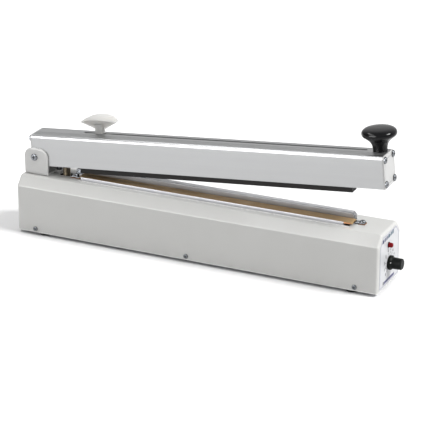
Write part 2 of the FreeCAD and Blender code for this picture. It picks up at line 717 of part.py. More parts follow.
def micro_switch():
    """Micro switch that starts the pulse, with contact blades below."""
    ys = (SPRING_Y - SWITCH_HALF_DEPTH, SPRING_Y + SWITCH_HALF_DEPTH)
    body = block(SWITCH_X, ys, SWITCH_Z)
    tag_ys = (SPRING_Y - 1.6, SPRING_Y + 1.6)
    tag_zs = (SWITCH_Z[0] - 6, SWITCH_Z[0])
    for x in (SWITCH_X[0] + 3, (SWITCH_X[0] + SWITCH_X[1]) / 2, SWITCH_X[1] - 3):
        body = body.fuse(block((x - 0.4, x + 0.4), tag_ys, tag_zs))
    bore = rod(PLUNGER_RADIUS + RUNNING_GAP, V(ROD_X, SPRING_Y, SWITCH_Z[1] - 7), Z_AXIS, 20)
    body = body.cut(bore)
    for x, z in switch_screw_places():
        body = body.cut(rod(1.1 + CLEARANCE, V(x, SPRING_Y - 10, z), Y_AXIS, 20))
    return body.removeSplitter()


def switch_screws():
    """Two screws that hold the micro switch to its tab."""
    front = SPRING_Y - SWITCH_HALF_DEPTH
    return [pan_screw(V(x, front, z), V(0, -1, 0), 1.1, 9, 2.0, 1.3) for x, z in switch_screw_places()]


def switch_plunger():
    """Small button of the micro switch."""
    bottom = SWITCH_Z[1] - 4
    return rod(PLUNGER_RADIUS, V(ROD_X, SPRING_Y, bottom), Z_AXIS, PLUNGER_TOP_Z - bottom)


def return_spring():
    """Compression spring around the rod, which lifts the arm."""
    bottom = SEAT_Z + SEAT_SHEET + SPRING_WIRE + 0.1
    height = SPRING_TOP_Z - SPRING_WIRE - bottom
    helix = Part.makeHelix(SPRING_PITCH, height, SPRING_RADIUS)
    circle = Part.Circle(V(SPRING_RADIUS, 0, 0), Y_AXIS, SPRING_WIRE)
    section = Part.Wire([circle.toShape()])
    coil = Part.Wire(helix.Edges).makePipeShell([section], True, True)
    coil.translate(V(SPRING_X, SPRING_Y, bottom))
    return coil


def hinge_bracket():
    """Channel that carries the arm: two ears, a floor on the top and a tongue for a screw."""
    centre_x = (EAR_LEFT_X + EAR_RIGHT_X) / 2
    width = BRACKET_HALF_WIDTH * 2
    xs = (EAR_LEFT_X, EAR_RIGHT_X)
    full = block(xs, (-BRACKET_HALF_WIDTH, BRACKET_HALF_WIDTH), (TOP_Z, EAR_TOP_Z))
    crown = nearest_edges(full, lambda c, b: b.YLength > width / 2 and c.z > EAR_TOP_Z - 1)
    full = full.makeFillet(EAR_CORNER_RADIUS, crown)
    low_z = TOP_Z + 1
    heel = nearest_edges(full, lambda c, b: b.YLength > width / 2 and c.z < low_z and c.x < centre_x)
    full = full.makeFillet(3.0, heel)
    edge_y = BRACKET_HALF_WIDTH - 1
    bends = nearest_edges(full, lambda c, b: b.XLength > 20 and c.z < low_z and abs(c.y) > edge_y)
    full = full.makeFillet(2.0, bends)
    inner = BRACKET_HALF_WIDTH - EAR_THICKNESS
    bracket = full.cut(block((0, 60), (-inner, inner), (TOP_Z + BRACKET_FLOOR, EAR_TOP_Z + 5)))
    tongue = block((EAR_RIGHT_X - 5, TONGUE_END_X), TONGUE_Y, (TOP_Z, TOP_Z + BRACKET_FLOOR))
    bracket = bracket.fuse(tongue)
    bracket = bracket.cut(rod(BOLT_RADIUS + CLEARANCE, V(PIVOT_X, -30, PIVOT_Z), Y_AXIS, 60))
    for x, y in BRACKET_SCREWS:
        bracket = bracket.cut(rod(BRACKET_SCREW_RADIUS + CLEARANCE, V(x, y, TOP_Z - 1), Z_AXIS, 6))
    return bracket.removeSplitter()


def bracket_screws():
    """Two screws that hold the bracket to the top."""
    seat_z = TOP_Z + BRACKET_FLOOR
    head = (BRACKET_HEAD_RADIUS, BRACKET_HEAD_HEIGHT)
    return [pan_screw(V(x, y, seat_z), Z_AXIS, BRACKET_SCREW_RADIUS, 8, *head) for x, y in BRACKET_SCREWS]


def hinge_bolt():
    """Pivot bolt through both ears and the arm, with its head at the front."""
    seat = V(PIVOT_X, -BRACKET_HALF_WIDTH, PIVOT_Z)
    length = BRACKET_HALF_WIDTH * 2 + BOLT_NUT_HEIGHT + 1
    return pan_screw(seat, V(0, -1, 0), BOLT_RADIUS, length, BOLT_HEAD_RADIUS, BOLT_HEAD_HEIGHT)


def hinge_nut():
    """Lock nut on the rear end of the pivot bolt."""
    nut = hexagon(BOLT_NUT_FLATS, BOLT_NUT_HEIGHT, V(PIVOT_X, BRACKET_HALF_WIDTH, PIVOT_Z), Y_AXIS)
    return nut.cut(rod(BOLT_RADIUS + CLEARANCE, V(PIVOT_X, BRACKET_HALF_WIDTH - 1, PIVOT_Z), Y_AXIS, 8))


def seal_bar():
    """Aluminium base of the lower jaw: a wide flange under the top and a rail through the slot."""
    flange = block((JAW_START_X, JAW_END_X), JAW_FLANGE_Y, JAW_FLANGE_Z)
    rail = block((JAW_START_X, JAW_END_X), RAIL_Y, (JAW_FLANGE_Z[0], RAIL_TOP_Z))
    return flange.fuse(rail).removeSplitter()


def cover_clamp():
    """Aluminium strip along the front of the rail, which holds the cloth."""
    strip = block((JAW_START_X, JAW_END_X), CLAMP_Y, CLAMP_Z)
    front_y = CLAMP_Y[0] + 0.5
    edge = nearest_edges(strip, lambda c, b: b.XLength > 100 and c.z > CLAMP_Z[1] - 1 and c.y < front_y)
    return strip.makeFillet(0.6, edge)


def insulation_tape():
    """Heat-proof tape between the rail and the element."""
    return block((JAW_START_X, JAW_END_X), TAPE_Y, (RAIL_TOP_Z, RAIL_TOP_Z + TAPE_THICKNESS))


def heating_element():
    """Flat resistance wire, 3 mm wide, from terminal to terminal."""
    return block(ELEMENT_X, ELEMENT_Y, (ELEMENT_Z, ELEMENT_Z + ELEMENT_THICKNESS))


def cover_cloth():
    """Coated glass cloth stretched over the element."""
    return block((JAW_START_X - 1, COVER_END_X), COVER_Y, COVER_Z)


def cutter_guide():
    """Grooved aluminium rail behind the cloth, in which the blade runs."""
    guide = block((JAW_START_X, GUIDE_END_X), GUIDE_Y, (JAW_FLANGE_Z[1], GUIDE_TOP_Z))
    end_x = GUIDE_END_X - 1
    tips = nearest_edges(guide, lambda c, b: b.YLength > 5 and c.z > GUIDE_TOP_Z - 1 and c.x > end_x)
    guide = guide.makeChamfer(GUIDE_END_CHAMFER, tips)
    half = GUIDE_GROOVE_WIDTH / 2
    groove_ys = (LINE_Y - half, LINE_Y + half)
    guide = guide.cut(block((0, END_X), groove_ys, (GUIDE_GROOVE_FLOOR_Z, GUIDE_TOP_Z + 1)))
    shallow = block((0, END_X), GUIDE_SHALLOW_Y, (GUIDE_TOP_Z - GUIDE_SHALLOW_DEPTH, GUIDE_TOP_Z + 1))
    return guide.cut(shallow)


def terminal_insulators():
    """Two insulating pads between the terminals and the housing."""
    zs = (TOP_Z, TOP_Z + PAD_THICKNESS)
    pads = [block(*outline, zs) for outline in (LEFT_PAD, RIGHT_PAD)]
    return [
        pad.cut(rod(TERMINAL_SCREW_RADIUS + CLEARANCE, V(x, y, TOP_Z - 1), Z_AXIS, 4))
        for pad, (x, y) in zip(pads, TERMINAL_SCREWS)
    ]


def terminal_left():
    """Plated terminal at the hinge end: foot, upright at the rear and step for the element."""
    foot_z = TOP_Z + PAD_THICKNESS
    (start_x, end_x), (_, rear_y) = LEFT_FOOT
    foot = block(*LEFT_FOOT, (foot_z, foot_z + TERMINAL_SHEET))
    upright_ys = (rear_y - TERMINAL_SHEET, rear_y)
    upright = block((start_x, LEFT_UPRIGHT_END_X), upright_ys, (foot_z, LEFT_UPRIGHT_TOP_Z))
    step = block((end_x - TERMINAL_SHEET, end_x), LEFT_STEP_Y, (foot_z, ELEMENT_Z - FIT_GAP))
    terminal = foot.fuse([upright, step]).removeSplitter()
    x, y = TERMINAL_SCREWS[0]
    return terminal.cut(rod(TERMINAL_SCREW_RADIUS + CLEARANCE, V(x, y, TOP_Z), Z_AXIS, 4))


def element_tab():
    """Copper tab under the end of the element, with its front edge beyond the cloth."""
    top_z = ELEMENT_Z - FIT_GAP
    return block(TAB_X, TAB_Y, (top_z - TAB_THICKNESS, top_z))


def terminal_right():
    """Plated terminal at the panel end: a tongue under the tab, a drop and a foot for the screw."""
    foot_z = TOP_Z + PAD_THICKNESS
    top_z = ELEMENT_Z - TAB_THICKNESS - 2 * FIT_GAP
    end_x = TAB_X[1] + 0.8
    drop_xs = (end_x - TERMINAL_SHEET, end_x)
    foot_xs = (drop_xs[0], RIGHT_FOOT_END_X)
    tongue = block((TAB_X[0] + 1, end_x), RIGHT_TONGUE_Y, (top_z - TERMINAL_SHEET, top_z))
    drop = block(drop_xs, RIGHT_TONGUE_Y, (foot_z, top_z))
    foot = block(foot_xs, RIGHT_FOOT_Y, (foot_z, foot_z + TERMINAL_SHEET))
    terminal = tongue.fuse([drop, foot]).removeSplitter()
    x, y = TERMINAL_SCREWS[1]
    return terminal.cut(rod(TERMINAL_SCREW_RADIUS + CLEARANCE, V(x, y, TOP_Z), Z_AXIS, 4))


def terminal_screws():
    """One pan-head screw on each terminal."""
    seat_z = TOP_Z + PAD_THICKNESS + TERMINAL_SHEET
    head = (TERMINAL_HEAD_RADIUS, TERMINAL_HEAD_HEIGHT)
    return [pan_screw(V(x, y, seat_z), Z_AXIS, TERMINAL_SCREW_RADIUS, 8, *head) for x, y in TERMINAL_SCREWS]


def inlet_block(size, grow, face_y):
    """Box of a width, height and depth behind a face on the rear wall."""
    width, height, depth = size
    xs = (INLET_X - width / 2 - grow, INLET_X + width / 2 + grow)
    zs = (INLET_Z - height / 2 - grow, INLET_Z + height / 2 + grow)
    return block(xs, (HALF_WIDTH - depth, face_y), zs)


def power_inlet():
    """Mains appliance inlet with a flange on the rear wall."""
    width, height, thickness = INLET_FLANGE
    face_y = HALF_WIDTH + thickness
    flange = block(
        (INLET_X - width / 2, INLET_X + width / 2),
        (HALF_WIDTH, face_y),
        (INLET_Z - height / 2, INLET_Z + height / 2),
    )
    corners = nearest_edges(flange, lambda c, b: b.YLength > 1)
    flange = flange.makeFillet(5.0, corners)
    inlet = flange.fuse(inlet_block(INLET_BODY, 0, HALF_WIDTH + 0.1))
    inlet = inlet.cut(inlet_block(INLET_CAVITY, 0, face_y + 1))
    for x, z in PIN_PLACES:
        pin_width, _, pin_height = PIN_SIZE
        xs = (INLET_X + x - pin_width / 2 - 0.05, INLET_X + x + pin_width / 2 + 0.05)
        zs = (INLET_Z + z - pin_height / 2 - 0.05, INLET_Z + z + pin_height / 2 + 0.05)
        inlet = inlet.cut(block(xs, (0, HALF_WIDTH - INLET_CAVITY[2] + 1), zs))
    for side in (-1, 1):
        place = V(INLET_X + side * INLET_SCREW_OFFSET, HALF_WIDTH - 1, INLET_Z)
        inlet = inlet.cut(rod(1.5 + CLEARANCE, place, Y_AXIS, 5))
        sink = Part.makeCone(1.5 + CLEARANCE, 3.2, 1.5, place + V(0, 1, 0), Y_AXIS)
        inlet = inlet.cut(sink)
    return inlet.removeSplitter()


def inlet_pins():
    """Three flat pins in the inlet, which reach out behind as solder tags."""
    pins = []
    back = HALF_WIDTH - INLET_BODY[2] - 4
    front = HALF_WIDTH - INLET_CAVITY[2] + PIN_SIZE[1]
    for x, z in PIN_PLACES:
        xs = (INLET_X + x - PIN_SIZE[0] / 2, INLET_X + x + PIN_SIZE[0] / 2)
        zs = (INLET_Z + z - PIN_SIZE[2] / 2, INLET_Z + z + PIN_SIZE[2] / 2)
        pins.append(block(xs, (back, front), zs))
    return pins


def inlet_screws():
    """Two countersunk screws that hold the inlet."""
    screws = []
    for side in (-1, 1):
        place = V(INLET_X + side * INLET_SCREW_OFFSET, HALF_WIDTH, INLET_Z)
        head = Part.makeCone(1.4, 2.9, 1.4, place, Y_AXIS)
        shank = rod(1.4, place - Y_AXIS * 6, Y_AXIS, 6.5)
        slot_ys = (HALF_WIDTH + 0.9, HALF_WIDTH + 3)
        slot = block((place.x - 4, place.x + 4), slot_ys, (INLET_Z - 0.3, INLET_Z + 0.3))
        screws.append(head.fuse(shank).cut(slot).removeSplitter())
    return screws


def lead(points, radius):
    """Insulated lead through a list of points, round at its bends."""
    pieces = []
    for a, b in zip(points, points[1:]):
        pieces.append(Part.makeCylinder(radius, (b - a).Length, a, b - a))
    for corner in points[1:-1]:
        pieces.append(Part.makeSphere(radius, corner))
    return pieces[0].fuse(pieces[1:]).removeSplitter()


def wiring():
    """Leads from the inlet to the board, and from the transformer to both terminals."""
    low = FLOOR_Z + 3
    supply = [V(120, 12, 34), V(120, 6, 34), V(120, 6, low), V(300, 6, low), V(300, 31, low)]
    supply += [V(432, 31, low), V(432, 31, 22), V(432, 12, 22)]
    heavy_left = [V(366, -29, 45), V(366, -31, 45), V(366, -31, 62), V(60, -31, 62), V(60, -20, 62)]
    heavy_right = [V(390, -29, 45), V(390, -33, 45), V(390, -33, 55), V(486, -33, 55), V(486, -10, 68)]
    return [lead(supply, 1.6), lead(heavy_left, 1.8), lead(heavy_right, 1.8)]


def port_places():
    """Centres of the four screw ports of the arm in Y and Z."""
    zs = (ARM_BOTTOM_Z + PORT_MARGIN, ARM_TOP_Z - PORT_MARGIN)
    return [(y, z) for y in (-PORT_Y, PORT_Y) for z in zs]


def arm_outline(start_x, end_x):
    """Outer block of the arm with both top corners rounded."""
    body = block((start_x, end_x), (-ARM_HALF_WIDTH, ARM_HALF_WIDTH), (ARM_BOTTOM_Z, ARM_TOP_Z))
    corners = nearest_edges(body, lambda c, b: b.XLength > 1 and c.z > ARM_TOP_Z - 1 and b.YLength < 1)
    return body.makeFillet(ARM_CORNER, corners)


def arm_beam():
    """Anodised extrusion with screw ports, a slot along the top and a mouth below for the blade."""
    xs = (BEAM_LEFT_X, BEAM_RIGHT_X)
    inner_half = ARM_HALF_WIDTH - ARM_WALL
    hollow = block(xs, (-inner_half, inner_half), (ARM_BOTTOM_Z + ARM_WALL, ARM_TOP_Z - ARM_WALL))
    roof = nearest_edges(hollow, lambda c, b: b.XLength > 1 and c.z > ARM_TOP_Z - ARM_WALL - 1)
    hollow = hollow.makeFillet(ARM_CORNER - ARM_WALL, roof)
    beam = arm_outline(*xs).cut(hollow)
    length = xs[1] - xs[0]
    beam = beam.fuse([rod(PORT_RADIUS, V(xs[0], y, z), X_AXIS, length) for y, z in port_places()])
    beam = beam.fuse(block(xs, RIB_Y, (ARM_TOP_Z - ARM_WALL - RIB_DEPTH, ARM_TOP_Z - ARM_WALL + 0.1)))
    for y, z in port_places():
        beam = beam.cut(rod(PORT_SCREW_RADIUS + CLEARANCE, V(xs[0], y, z), X_AXIS, length))
    beam = beam.cut(block(xs, (MOUTH_START_Y, MOUTH_END_Y), (ARM_BOTTOM_Z - 1, ARM_BOTTOM_Z + ARM_WALL)))
    for y in TOP_GROOVES_Y:
        ys = (y - TOP_GROOVE_WIDTH / 2, y + TOP_GROOVE_WIDTH / 2)
        beam = beam.cut(block(xs, ys, (ARM_TOP_Z - TOP_GROOVE_DEPTH, ARM_TOP_Z + 1)))
    half = SLOT_WIDTH / 2
    slot_ys = (LINE_Y - half, LINE_Y + half)
    beam = beam.cut(block((SLOT_START_X, SLOT_END_X), slot_ys, (ARM_TOP_Z - 5, ARM_TOP_Z + 1)))
    beam = beam.cut(rod(BOLT_RADIUS + RUNNING_GAP, V(PIVOT_X, -30, PIVOT_Z), Y_AXIS, 60))
    beam = beam.cut(rod(STUD_RADIUS + CLEARANCE, V(PRESS_KNOB_X, LINE_Y, ARM_TOP_Z - 5), Z_AXIS, 10))
    return beam.removeSplitter()


def hinge_spacer():
    """Tube in the arm around the pivot bolt, which keeps the side walls apart."""
    half = ARM_HALF_WIDTH - ARM_WALL - 0.05
    tube = rod(SPACER_RADIUS, V(PIVOT_X, -half, PIVOT_Z), Y_AXIS, half * 2)
    return tube.cut(rod(BOLT_RADIUS + RUNNING_GAP, V(PIVOT_X, -half - 1, PIVOT_Z), Y_AXIS, half * 2 + 2))


def arm_end_plate(start_x):
    """End plate of the arm with four screw holes."""
    plate = arm_outline(start_x, start_x + END_PLATE)
    for y, z in port_places():
        plate = plate.cut(rod(PORT_SCREW_RADIUS + CLEARANCE, V(start_x - 1, y, z), X_AXIS, END_PLATE + 2))
    return plate


def arm_end_plate_left():
    """End plate at the hinge."""
    return arm_end_plate(ARM_LEFT_X)


def arm_end_plate_right():
    """End plate under the press knob."""
    return arm_end_plate(BEAM_RIGHT_X)


def end_plate_screws():
    """Four pan-head screws in each end plate."""
    screws = []
    size = (PORT_SCREW_RADIUS, PORT_SCREW_LENGTH, PORT_HEAD_RADIUS, PORT_HEAD_HEIGHT)
    for x, side in ((ARM_LEFT_X, -1), (ARM_RIGHT_X, 1)):
        for y, z in port_places():
            screws.append(pan_screw(V(x, y, z), V(side, 0, 0), *size))
    return screws


def strip_holder():
    """Backing bar that carries the press strip under the arm."""
    zs = (ARM_BOTTOM_Z - HOLDER_THICKNESS, ARM_BOTTOM_Z)
    return block((STRIP_START_X - 4, STRIP_END_X + 0.5), HOLDER_Y, zs)


def press_strip():
    """Soft silicone strip with rounded lower edges, which presses the film on the cloth."""
    zs = (STRIP_BOTTOM_Z, ARM_BOTTOM_Z - HOLDER_THICKNESS)
    strip = block((STRIP_START_X, STRIP_END_X), STRIP_Y, zs)
    edges = nearest_edges(strip, lambda c, b: b.XLength > 100 and c.z < STRIP_BOTTOM_Z + 1)
    return strip.makeFillet(STRIP_EDGE, edges)


def press_knob():
    """Black mushroom knob at the free end of the arm."""
    foot = V(PRESS_KNOB_X, LINE_Y, ARM_TOP_Z)
    knob = revolved(PRESS_KNOB_PROFILE, True, foot, Z_AXIS)
    return knob.cut(rod(STUD_RADIUS + CLEARANCE, foot, Z_AXIS, STUD_LENGTH_ABOVE + 0.5))


def knob_stud():
    """Threaded stud of the press knob with its nut inside the arm."""
    start = ARM_TOP_Z - STUD_LENGTH_BELOW
    stud = rod(STUD_RADIUS, V(PRESS_KNOB_X, LINE_Y, start), Z_AXIS, STUD_LENGTH_BELOW + STUD_LENGTH_ABOVE)
    nut_z = ARM_TOP_Z - ARM_WALL - STUD_NUT_HEIGHT
    nut = hexagon(STUD_NUT_FLATS * 0.98, STUD_NUT_HEIGHT, V(PRESS_KNOB_X, LINE_Y - 0.7, nut_z), Z_AXIS)
    return stud.fuse(nut).removeSplitter()


def wing_section(place, half_width, keel, rim, crown):
    """Section across the cutter knob: hollow sides from the keel to the rim, and a domed crown."""

    def curve(points):
        bezier = Part.BezierCurve()
        bezier.setPoles([V(CUTTER_X + place, LINE_Y + y, CUTTER_KNOB_BASE_Z + z) for y, z in points])
        return bezier.toShape()

    flare_z = keel + 0.78 * (rim - keel)
    sides = []
    for side in (1, -1):
        edge_y = side * half_width
        shoulder = (edge_y * 0.94, rim + 0.55 * (crown - rim))
        dome = [(edge_y, rim), shoulder, (edge_y * 0.55, crown), (0, crown)]
        flare = [(0, keel), (edge_y * 0.42, flare_z), (edge_y, rim)]
        sides.append((curve(dome), curve(flare)))
    return Part.Wire([sides[0][0], sides[1][0], sides[1][1], sides[0][1]])


def cutter_knob():
    """White wing-shaped knob of the cutter on a straight stem."""
    wing = Part.makeLoft([wing_section(*size) for size in CUTTER_WING], True, True)
    xs = (CUTTER_X - CUTTER_STEM_HALF_LENGTH, CUTTER_X + CUTTER_STEM_HALF_LENGTH)
    ys = (LINE_Y - CUTTER_STEM_HALF_WIDTH, LINE_Y + CUTTER_STEM_HALF_WIDTH)
    stem = block(xs, ys, (CUTTER_KNOB_BASE_Z, CUTTER_KNOB_BASE_Z + CUTTER_STEM_HEIGHT))
    stem = stem.makeFillet(CUTTER_STEM_CORNER, nearest_edges(stem, lambda c, b: b.ZLength > 1))
    foot = V(CUTTER_X, LINE_Y, CUTTER_KNOB_BASE_Z - 1)
    bore = rod(STEM_RADIUS + CLEARANCE, foot, Z_AXIS, STEM_GRIP + 2)
    return wing.fuse(stem).cut(bore).removeSplitter()


def cutter_stem():
    """Stem that joins the cutter knob to the carriage through the slot."""
    bottom = CARRIAGE_TOP_Z - 10
    return rod(STEM_RADIUS, V(CUTTER_X, LINE_Y, bottom), Z_AXIS, CUTTER_KNOB_BASE_Z + STEM_GRIP - bottom)


def cutter_carriage():
    """Sliding block inside the arm, guided between the rib and the rear screw port."""
    xs = (CUTTER_X - CARRIAGE_HALF_LENGTH, CUTTER_X + CARRIAGE_HALF_LENGTH)
    body = block(xs, CARRIAGE_Y, (CARRIAGE_TOP_Z - CARRIAGE_HEIGHT, CARRIAGE_TOP_Z))
    body = body.cut(rod(STEM_RADIUS + CLEARANCE, V(CUTTER_X, LINE_Y, CARRIAGE_TOP_Z - 10.2), Z_AXIS, 20))
    front = LINE_Y - BLADE_THICKNESS / 2 - 0.02
    step_zs = (CARRIAGE_TOP_Z - CARRIAGE_HEIGHT, BLADE_TOP_Z + 0.2)
    body = body.cut(block(xs, (front, CARRIAGE_Y[1]), step_zs))
    for x, z in blade_screw_places():
        body = body.cut(rod(BLADE_SCREW_RADIUS + CLEARANCE, V(x, CARRIAGE_Y[0] + 3, z), Y_AXIS, 20))
    return body.removeSplitter()


def blade_screw_places():
    """Holes of the blade in X and Z."""
    return [(CUTTER_X - 3.5, BLADE_TOP_Z - 4), (CUTTER_X + 3.5, BLADE_TOP_Z - 4)]


def cutter_blade():
    """Steel blade with a slanted edge at each lower corner."""
    half = BLADE_HALF_LENGTH
    front = LINE_Y - BLADE_THICKNESS / 2
    outline = [
        (-half, BLADE_TOP_Z),
        (-half, BLADE_TIP_Z + 9),
        (0, BLADE_TIP_Z),
        (half, BLADE_TIP_Z + 9),
        (half, BLADE_TOP_Z),
    ]
    corners = [V(CUTTER_X + x, front, z) for x, z in outline]
    blade = Part.Face(Part.makePolygon(corners + [corners[0]])).extrude(V(0, BLADE_THICKNESS, 0))
    for x, z in blade_screw_places():
        blade = blade.cut(rod(BLADE_SCREW_RADIUS + CLEARANCE, V(x, front - 1, z), Y_AXIS, 5))
    return blade


def blade_screws():
    """Two screws that clamp the blade to the carriage."""
    seat_y = LINE_Y + BLADE_THICKNESS / 2 + 0.02
    return [
        pan_screw(V(x, seat_y, z), Y_AXIS, BLADE_SCREW_RADIUS, 6, BLADE_SCREW_HEAD, 1.6)
        for x, z in blade_screw_places()
    ]


def switch_rod():
    """Rod under the arm that presses the micro switch when the arm is closed."""
    return rod(ROD_RADIUS, V(ROD_X, SPRING_Y, ROD_BOTTOM_Z), Z_AXIS, ARM_BOTTOM_Z - ROD_BOTTOM_Z)


BASE_PARTS = [
    base_housing,
    bottom_plate,
    housing_screws,
    rubber_feet,
    foot_screws,
    panel_label,
    indicator_lamp,
    lamp_bezel,
    timer_potentiometer,
    potentiometer_nut,
    timer_shaft,
    timer_knob,
    knob_pointer,
    circuit_board,
    board_standoffs,
    board_screws,
    timing_relay,
    board_capacitors,
    transformer_core,
    transformer_coil,
    transformer_screws,
    spring_seat,
    micro_switch,
    switch_screws,
    switch_plunger,
    return_spring,
    hinge_bracket,
    bracket_screws,
    hinge_bolt,
    hinge_nut,
    seal_bar,
    cover_clamp,
    insulation_tape,
    heating_element,
    cover_cloth,
    cutter_guide,
    terminal_insulators,
    terminal_left,
    element_tab,
    terminal_right,
    terminal_screws,
    power_inlet,
    inlet_pins,
    inlet_screws,
    wiring,
]

ARM_PARTS = [
    arm_beam,
    hinge_spacer,
    arm_end_plate_left,
    arm_end_plate_right,
    end_plate_screws,
    strip_holder,
    press_strip,
    press_knob,
    knob_stud,
    switch_rod,
    cutter_knob,
    cutter_stem,
    cutter_carriage,
    cutter_blade,
    blade_screws,
]


def save(make, lifted):
    """Write one sub-part, turned about the pivot if it belongs to the arm."""
    made = make()
    solids = made if isinstance(made, list) else [made]
    shape = Part.makeCompound(solids) if len(solids) > 1 else solids[0]
    if lifted:
        shape.rotate(V(PIVOT_X, 0, PIVOT_Z), Y_AXIS, -REST_ANGLE)
    shape.translate(V(-CENTRE_X, 0, 0))
    shape.exportStep("parts/" + make.__name__ + ".step")


os.makedirs("parts", exist_ok=True)
for maker in BASE_PARTS:
    save(maker, False)
for maker in ARM_PARTS:
    save(maker, True)
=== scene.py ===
import json
import math

import bmesh
import bpy
from mathutils import Matrix, Vector


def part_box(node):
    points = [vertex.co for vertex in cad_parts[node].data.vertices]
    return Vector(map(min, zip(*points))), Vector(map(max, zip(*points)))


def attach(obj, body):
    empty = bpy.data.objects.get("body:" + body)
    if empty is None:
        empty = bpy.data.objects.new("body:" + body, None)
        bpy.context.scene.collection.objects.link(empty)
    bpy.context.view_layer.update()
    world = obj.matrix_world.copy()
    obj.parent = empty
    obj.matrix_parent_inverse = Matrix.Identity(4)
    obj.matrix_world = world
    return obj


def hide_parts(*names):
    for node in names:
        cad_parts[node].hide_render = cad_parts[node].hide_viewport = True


# Impulse heat sealer: finishes, printed panel, sealing cloth, floor, light and camera
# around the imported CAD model. Metres, +X to the control panel, +Y to the rear, +Z up.

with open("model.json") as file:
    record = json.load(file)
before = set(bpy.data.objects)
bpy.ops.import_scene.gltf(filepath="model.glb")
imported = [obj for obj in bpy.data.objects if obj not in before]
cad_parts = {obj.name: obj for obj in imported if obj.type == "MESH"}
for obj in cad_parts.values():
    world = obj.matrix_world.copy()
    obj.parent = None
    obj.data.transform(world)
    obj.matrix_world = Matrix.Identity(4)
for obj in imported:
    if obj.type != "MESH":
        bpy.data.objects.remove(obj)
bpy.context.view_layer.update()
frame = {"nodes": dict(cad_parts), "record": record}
NODES = frame["nodes"]

# The arm rests open by this angle about Y, and its brushed grain is turned with it
ARM_TILT = math.radians(5.2)

# Noise seldom leaves this range, so it is what tones and gloss are spread over
NOISE_LOW, NOISE_HIGH = 0.3, 0.7

# Noise scales per metre, from coarse to fine
PATCH_SCALE = 22.0
STAIN_SCALE = 35.0
SMUDGE_SCALE = 48.0
WAVE_SCALE = 150.0
EDGE_BREAK_SCALE = 160.0
MOTTLE_SCALE = 420.0
DULL_SCALE = 1300.0

# How far the painted highlight along a metal edge reaches, on sheet and bar and on small turned parts
METAL_HIGHLIGHT_RIM = 0.0004
SMALL_HIGHLIGHT_RIM = 0.0003

# Camera: place, angles and lens in millimetres
CAMERA_PLACE = Vector((1.059858, -2.184791, 1.034853))
CAMERA_AZIMUTH = math.radians(25.7108)
CAMERA_ELEVATION = math.radians(21.8905)
CAMERA_ROLL = math.radians(-0.3738)
CAMERA_LENS = 167.0
SENSOR_WIDTH = 36.0


# ---------------------------------------------------------------- node helpers

class Shader:
    """Short notation for building one material's nodes."""

    def __init__(self, name):
        self.material = bpy.data.materials.new(name)
        self.material.use_nodes = True
        self.tree = self.material.node_tree
        self.tree.nodes.clear()
        self.surface = self.add("ShaderNodeBsdfPrincipled")
        output = self.add("ShaderNodeOutputMaterial")
        self.join(self.surface.outputs["BSDF"], output.inputs["Surface"])
        self.coords = self.add("ShaderNodeTexCoord").outputs["Object"]

    def add(self, kind, **settings):
        made = self.tree.nodes.new(kind)
        for key, value in settings.items():
            setattr(made, key, value)
        return made

    def join(self, source, target):
        self.tree.links.new(source, target)

    def feed(self, node, **inputs):
        """Set or link named inputs, an underscore standing for a space."""
        for key, value in inputs.items():
            socket = node.inputs[key.replace("_", " ")]
            if isinstance(value, bpy.types.NodeSocket):
                self.join(value, socket)
            else:
                socket.default_value = value
        return node

    def place(self, stretch=(1, 1, 1), tilt=0.0):
        """Object coordinates, turned about Y and then scaled per axis."""
        turned = self.add("ShaderNodeMapping")
        self.feed(turned, Vector=self.coords, Rotation=(0, tilt, 0))
        scaled = self.add("ShaderNodeMapping")
        self.feed(scaled, Vector=turned.outputs["Vector"], Scale=stretch)
        return scaled.outputs["Vector"]

    def noise(self, vector, scale, detail=3.0, rough=0.5):
        made = self.add("ShaderNodeTexNoise")
        self.feed(made, Vector=vector, Scale=scale, Detail=detail, Roughness=rough)
        return made.outputs["Fac"]

    def remap(self, value, low, high, to_low, to_high):
        made = self.add("ShaderNodeMapRange")
        self.feed(made, Value=value, From_Min=low, From_Max=high, To_Min=to_low, To_Max=to_high)
        return made.outputs["Result"]

    def math(self, operation, a, b=None):
        made = self.add("ShaderNodeMath", operation=operation)
        for socket, value in zip(made.inputs, (a, b)):
            if isinstance(value, bpy.types.NodeSocket):
                self.join(value, socket)
            elif value is not None:
                socket.default_value = value
        return made.outputs["Value"]

    def blend(self, factor, a, b):
        """Mix of two colours."""
        made = self.add("ShaderNodeMix", data_type="RGBA")
        for socket, value in ((made.inputs[0], factor), (made.inputs[6], a), (made.inputs[7], b)):
            if isinstance(value, bpy.types.NodeSocket):
                self.join(value, socket)
            elif isinstance(value, (int, float)):
                socket.default_value = value
            else:
                socket.default_value = (*value, 1.0)
        return made.outputs[2]

    def edges(self, radius):
        """0 on flats and up to 1 within a radius of sharp edges."""
        bevel = self.add("ShaderNodeBevel", samples=4)
        bevel.inputs["Radius"].default_value = radius
        normal = self.add("ShaderNodeNewGeometry").outputs["Normal"]
        dot = self.add("ShaderNodeVectorMath", operation="DOT_PRODUCT")
        self.join(bevel.outputs["Normal"], dot.inputs[0])
        self.join(normal, dot.inputs[1])
        return self.remap(dot.outputs["Value"], 0.995, 0.80, 0.0, 1.0)

    def crevices(self, reach):
        """1 in the open and down to 0 where another surface is within reach: the mask for painted shade in
        corners.
        """
        hidden = self.add("ShaderNodeAmbientOcclusion", samples=8)
        hidden.inputs["Distance"].default_value = reach
        return self.remap(hidden.outputs["AO"], 0.5, 0.95, 0.0, 1.0)

    def bump(self, height, strength, distance, below=None):
        made = self.add("ShaderNodeBump")
        self.feed(made, Height=height, Strength=strength, Distance=distance)
        if below is not None:
            self.join(below, made.inputs["Normal"])
        return made.outputs["Normal"]


def shade(colour, factor):
    """Colour made darker or lighter by a factor."""
    return tuple(min(1.0, channel * factor) for channel in colour)


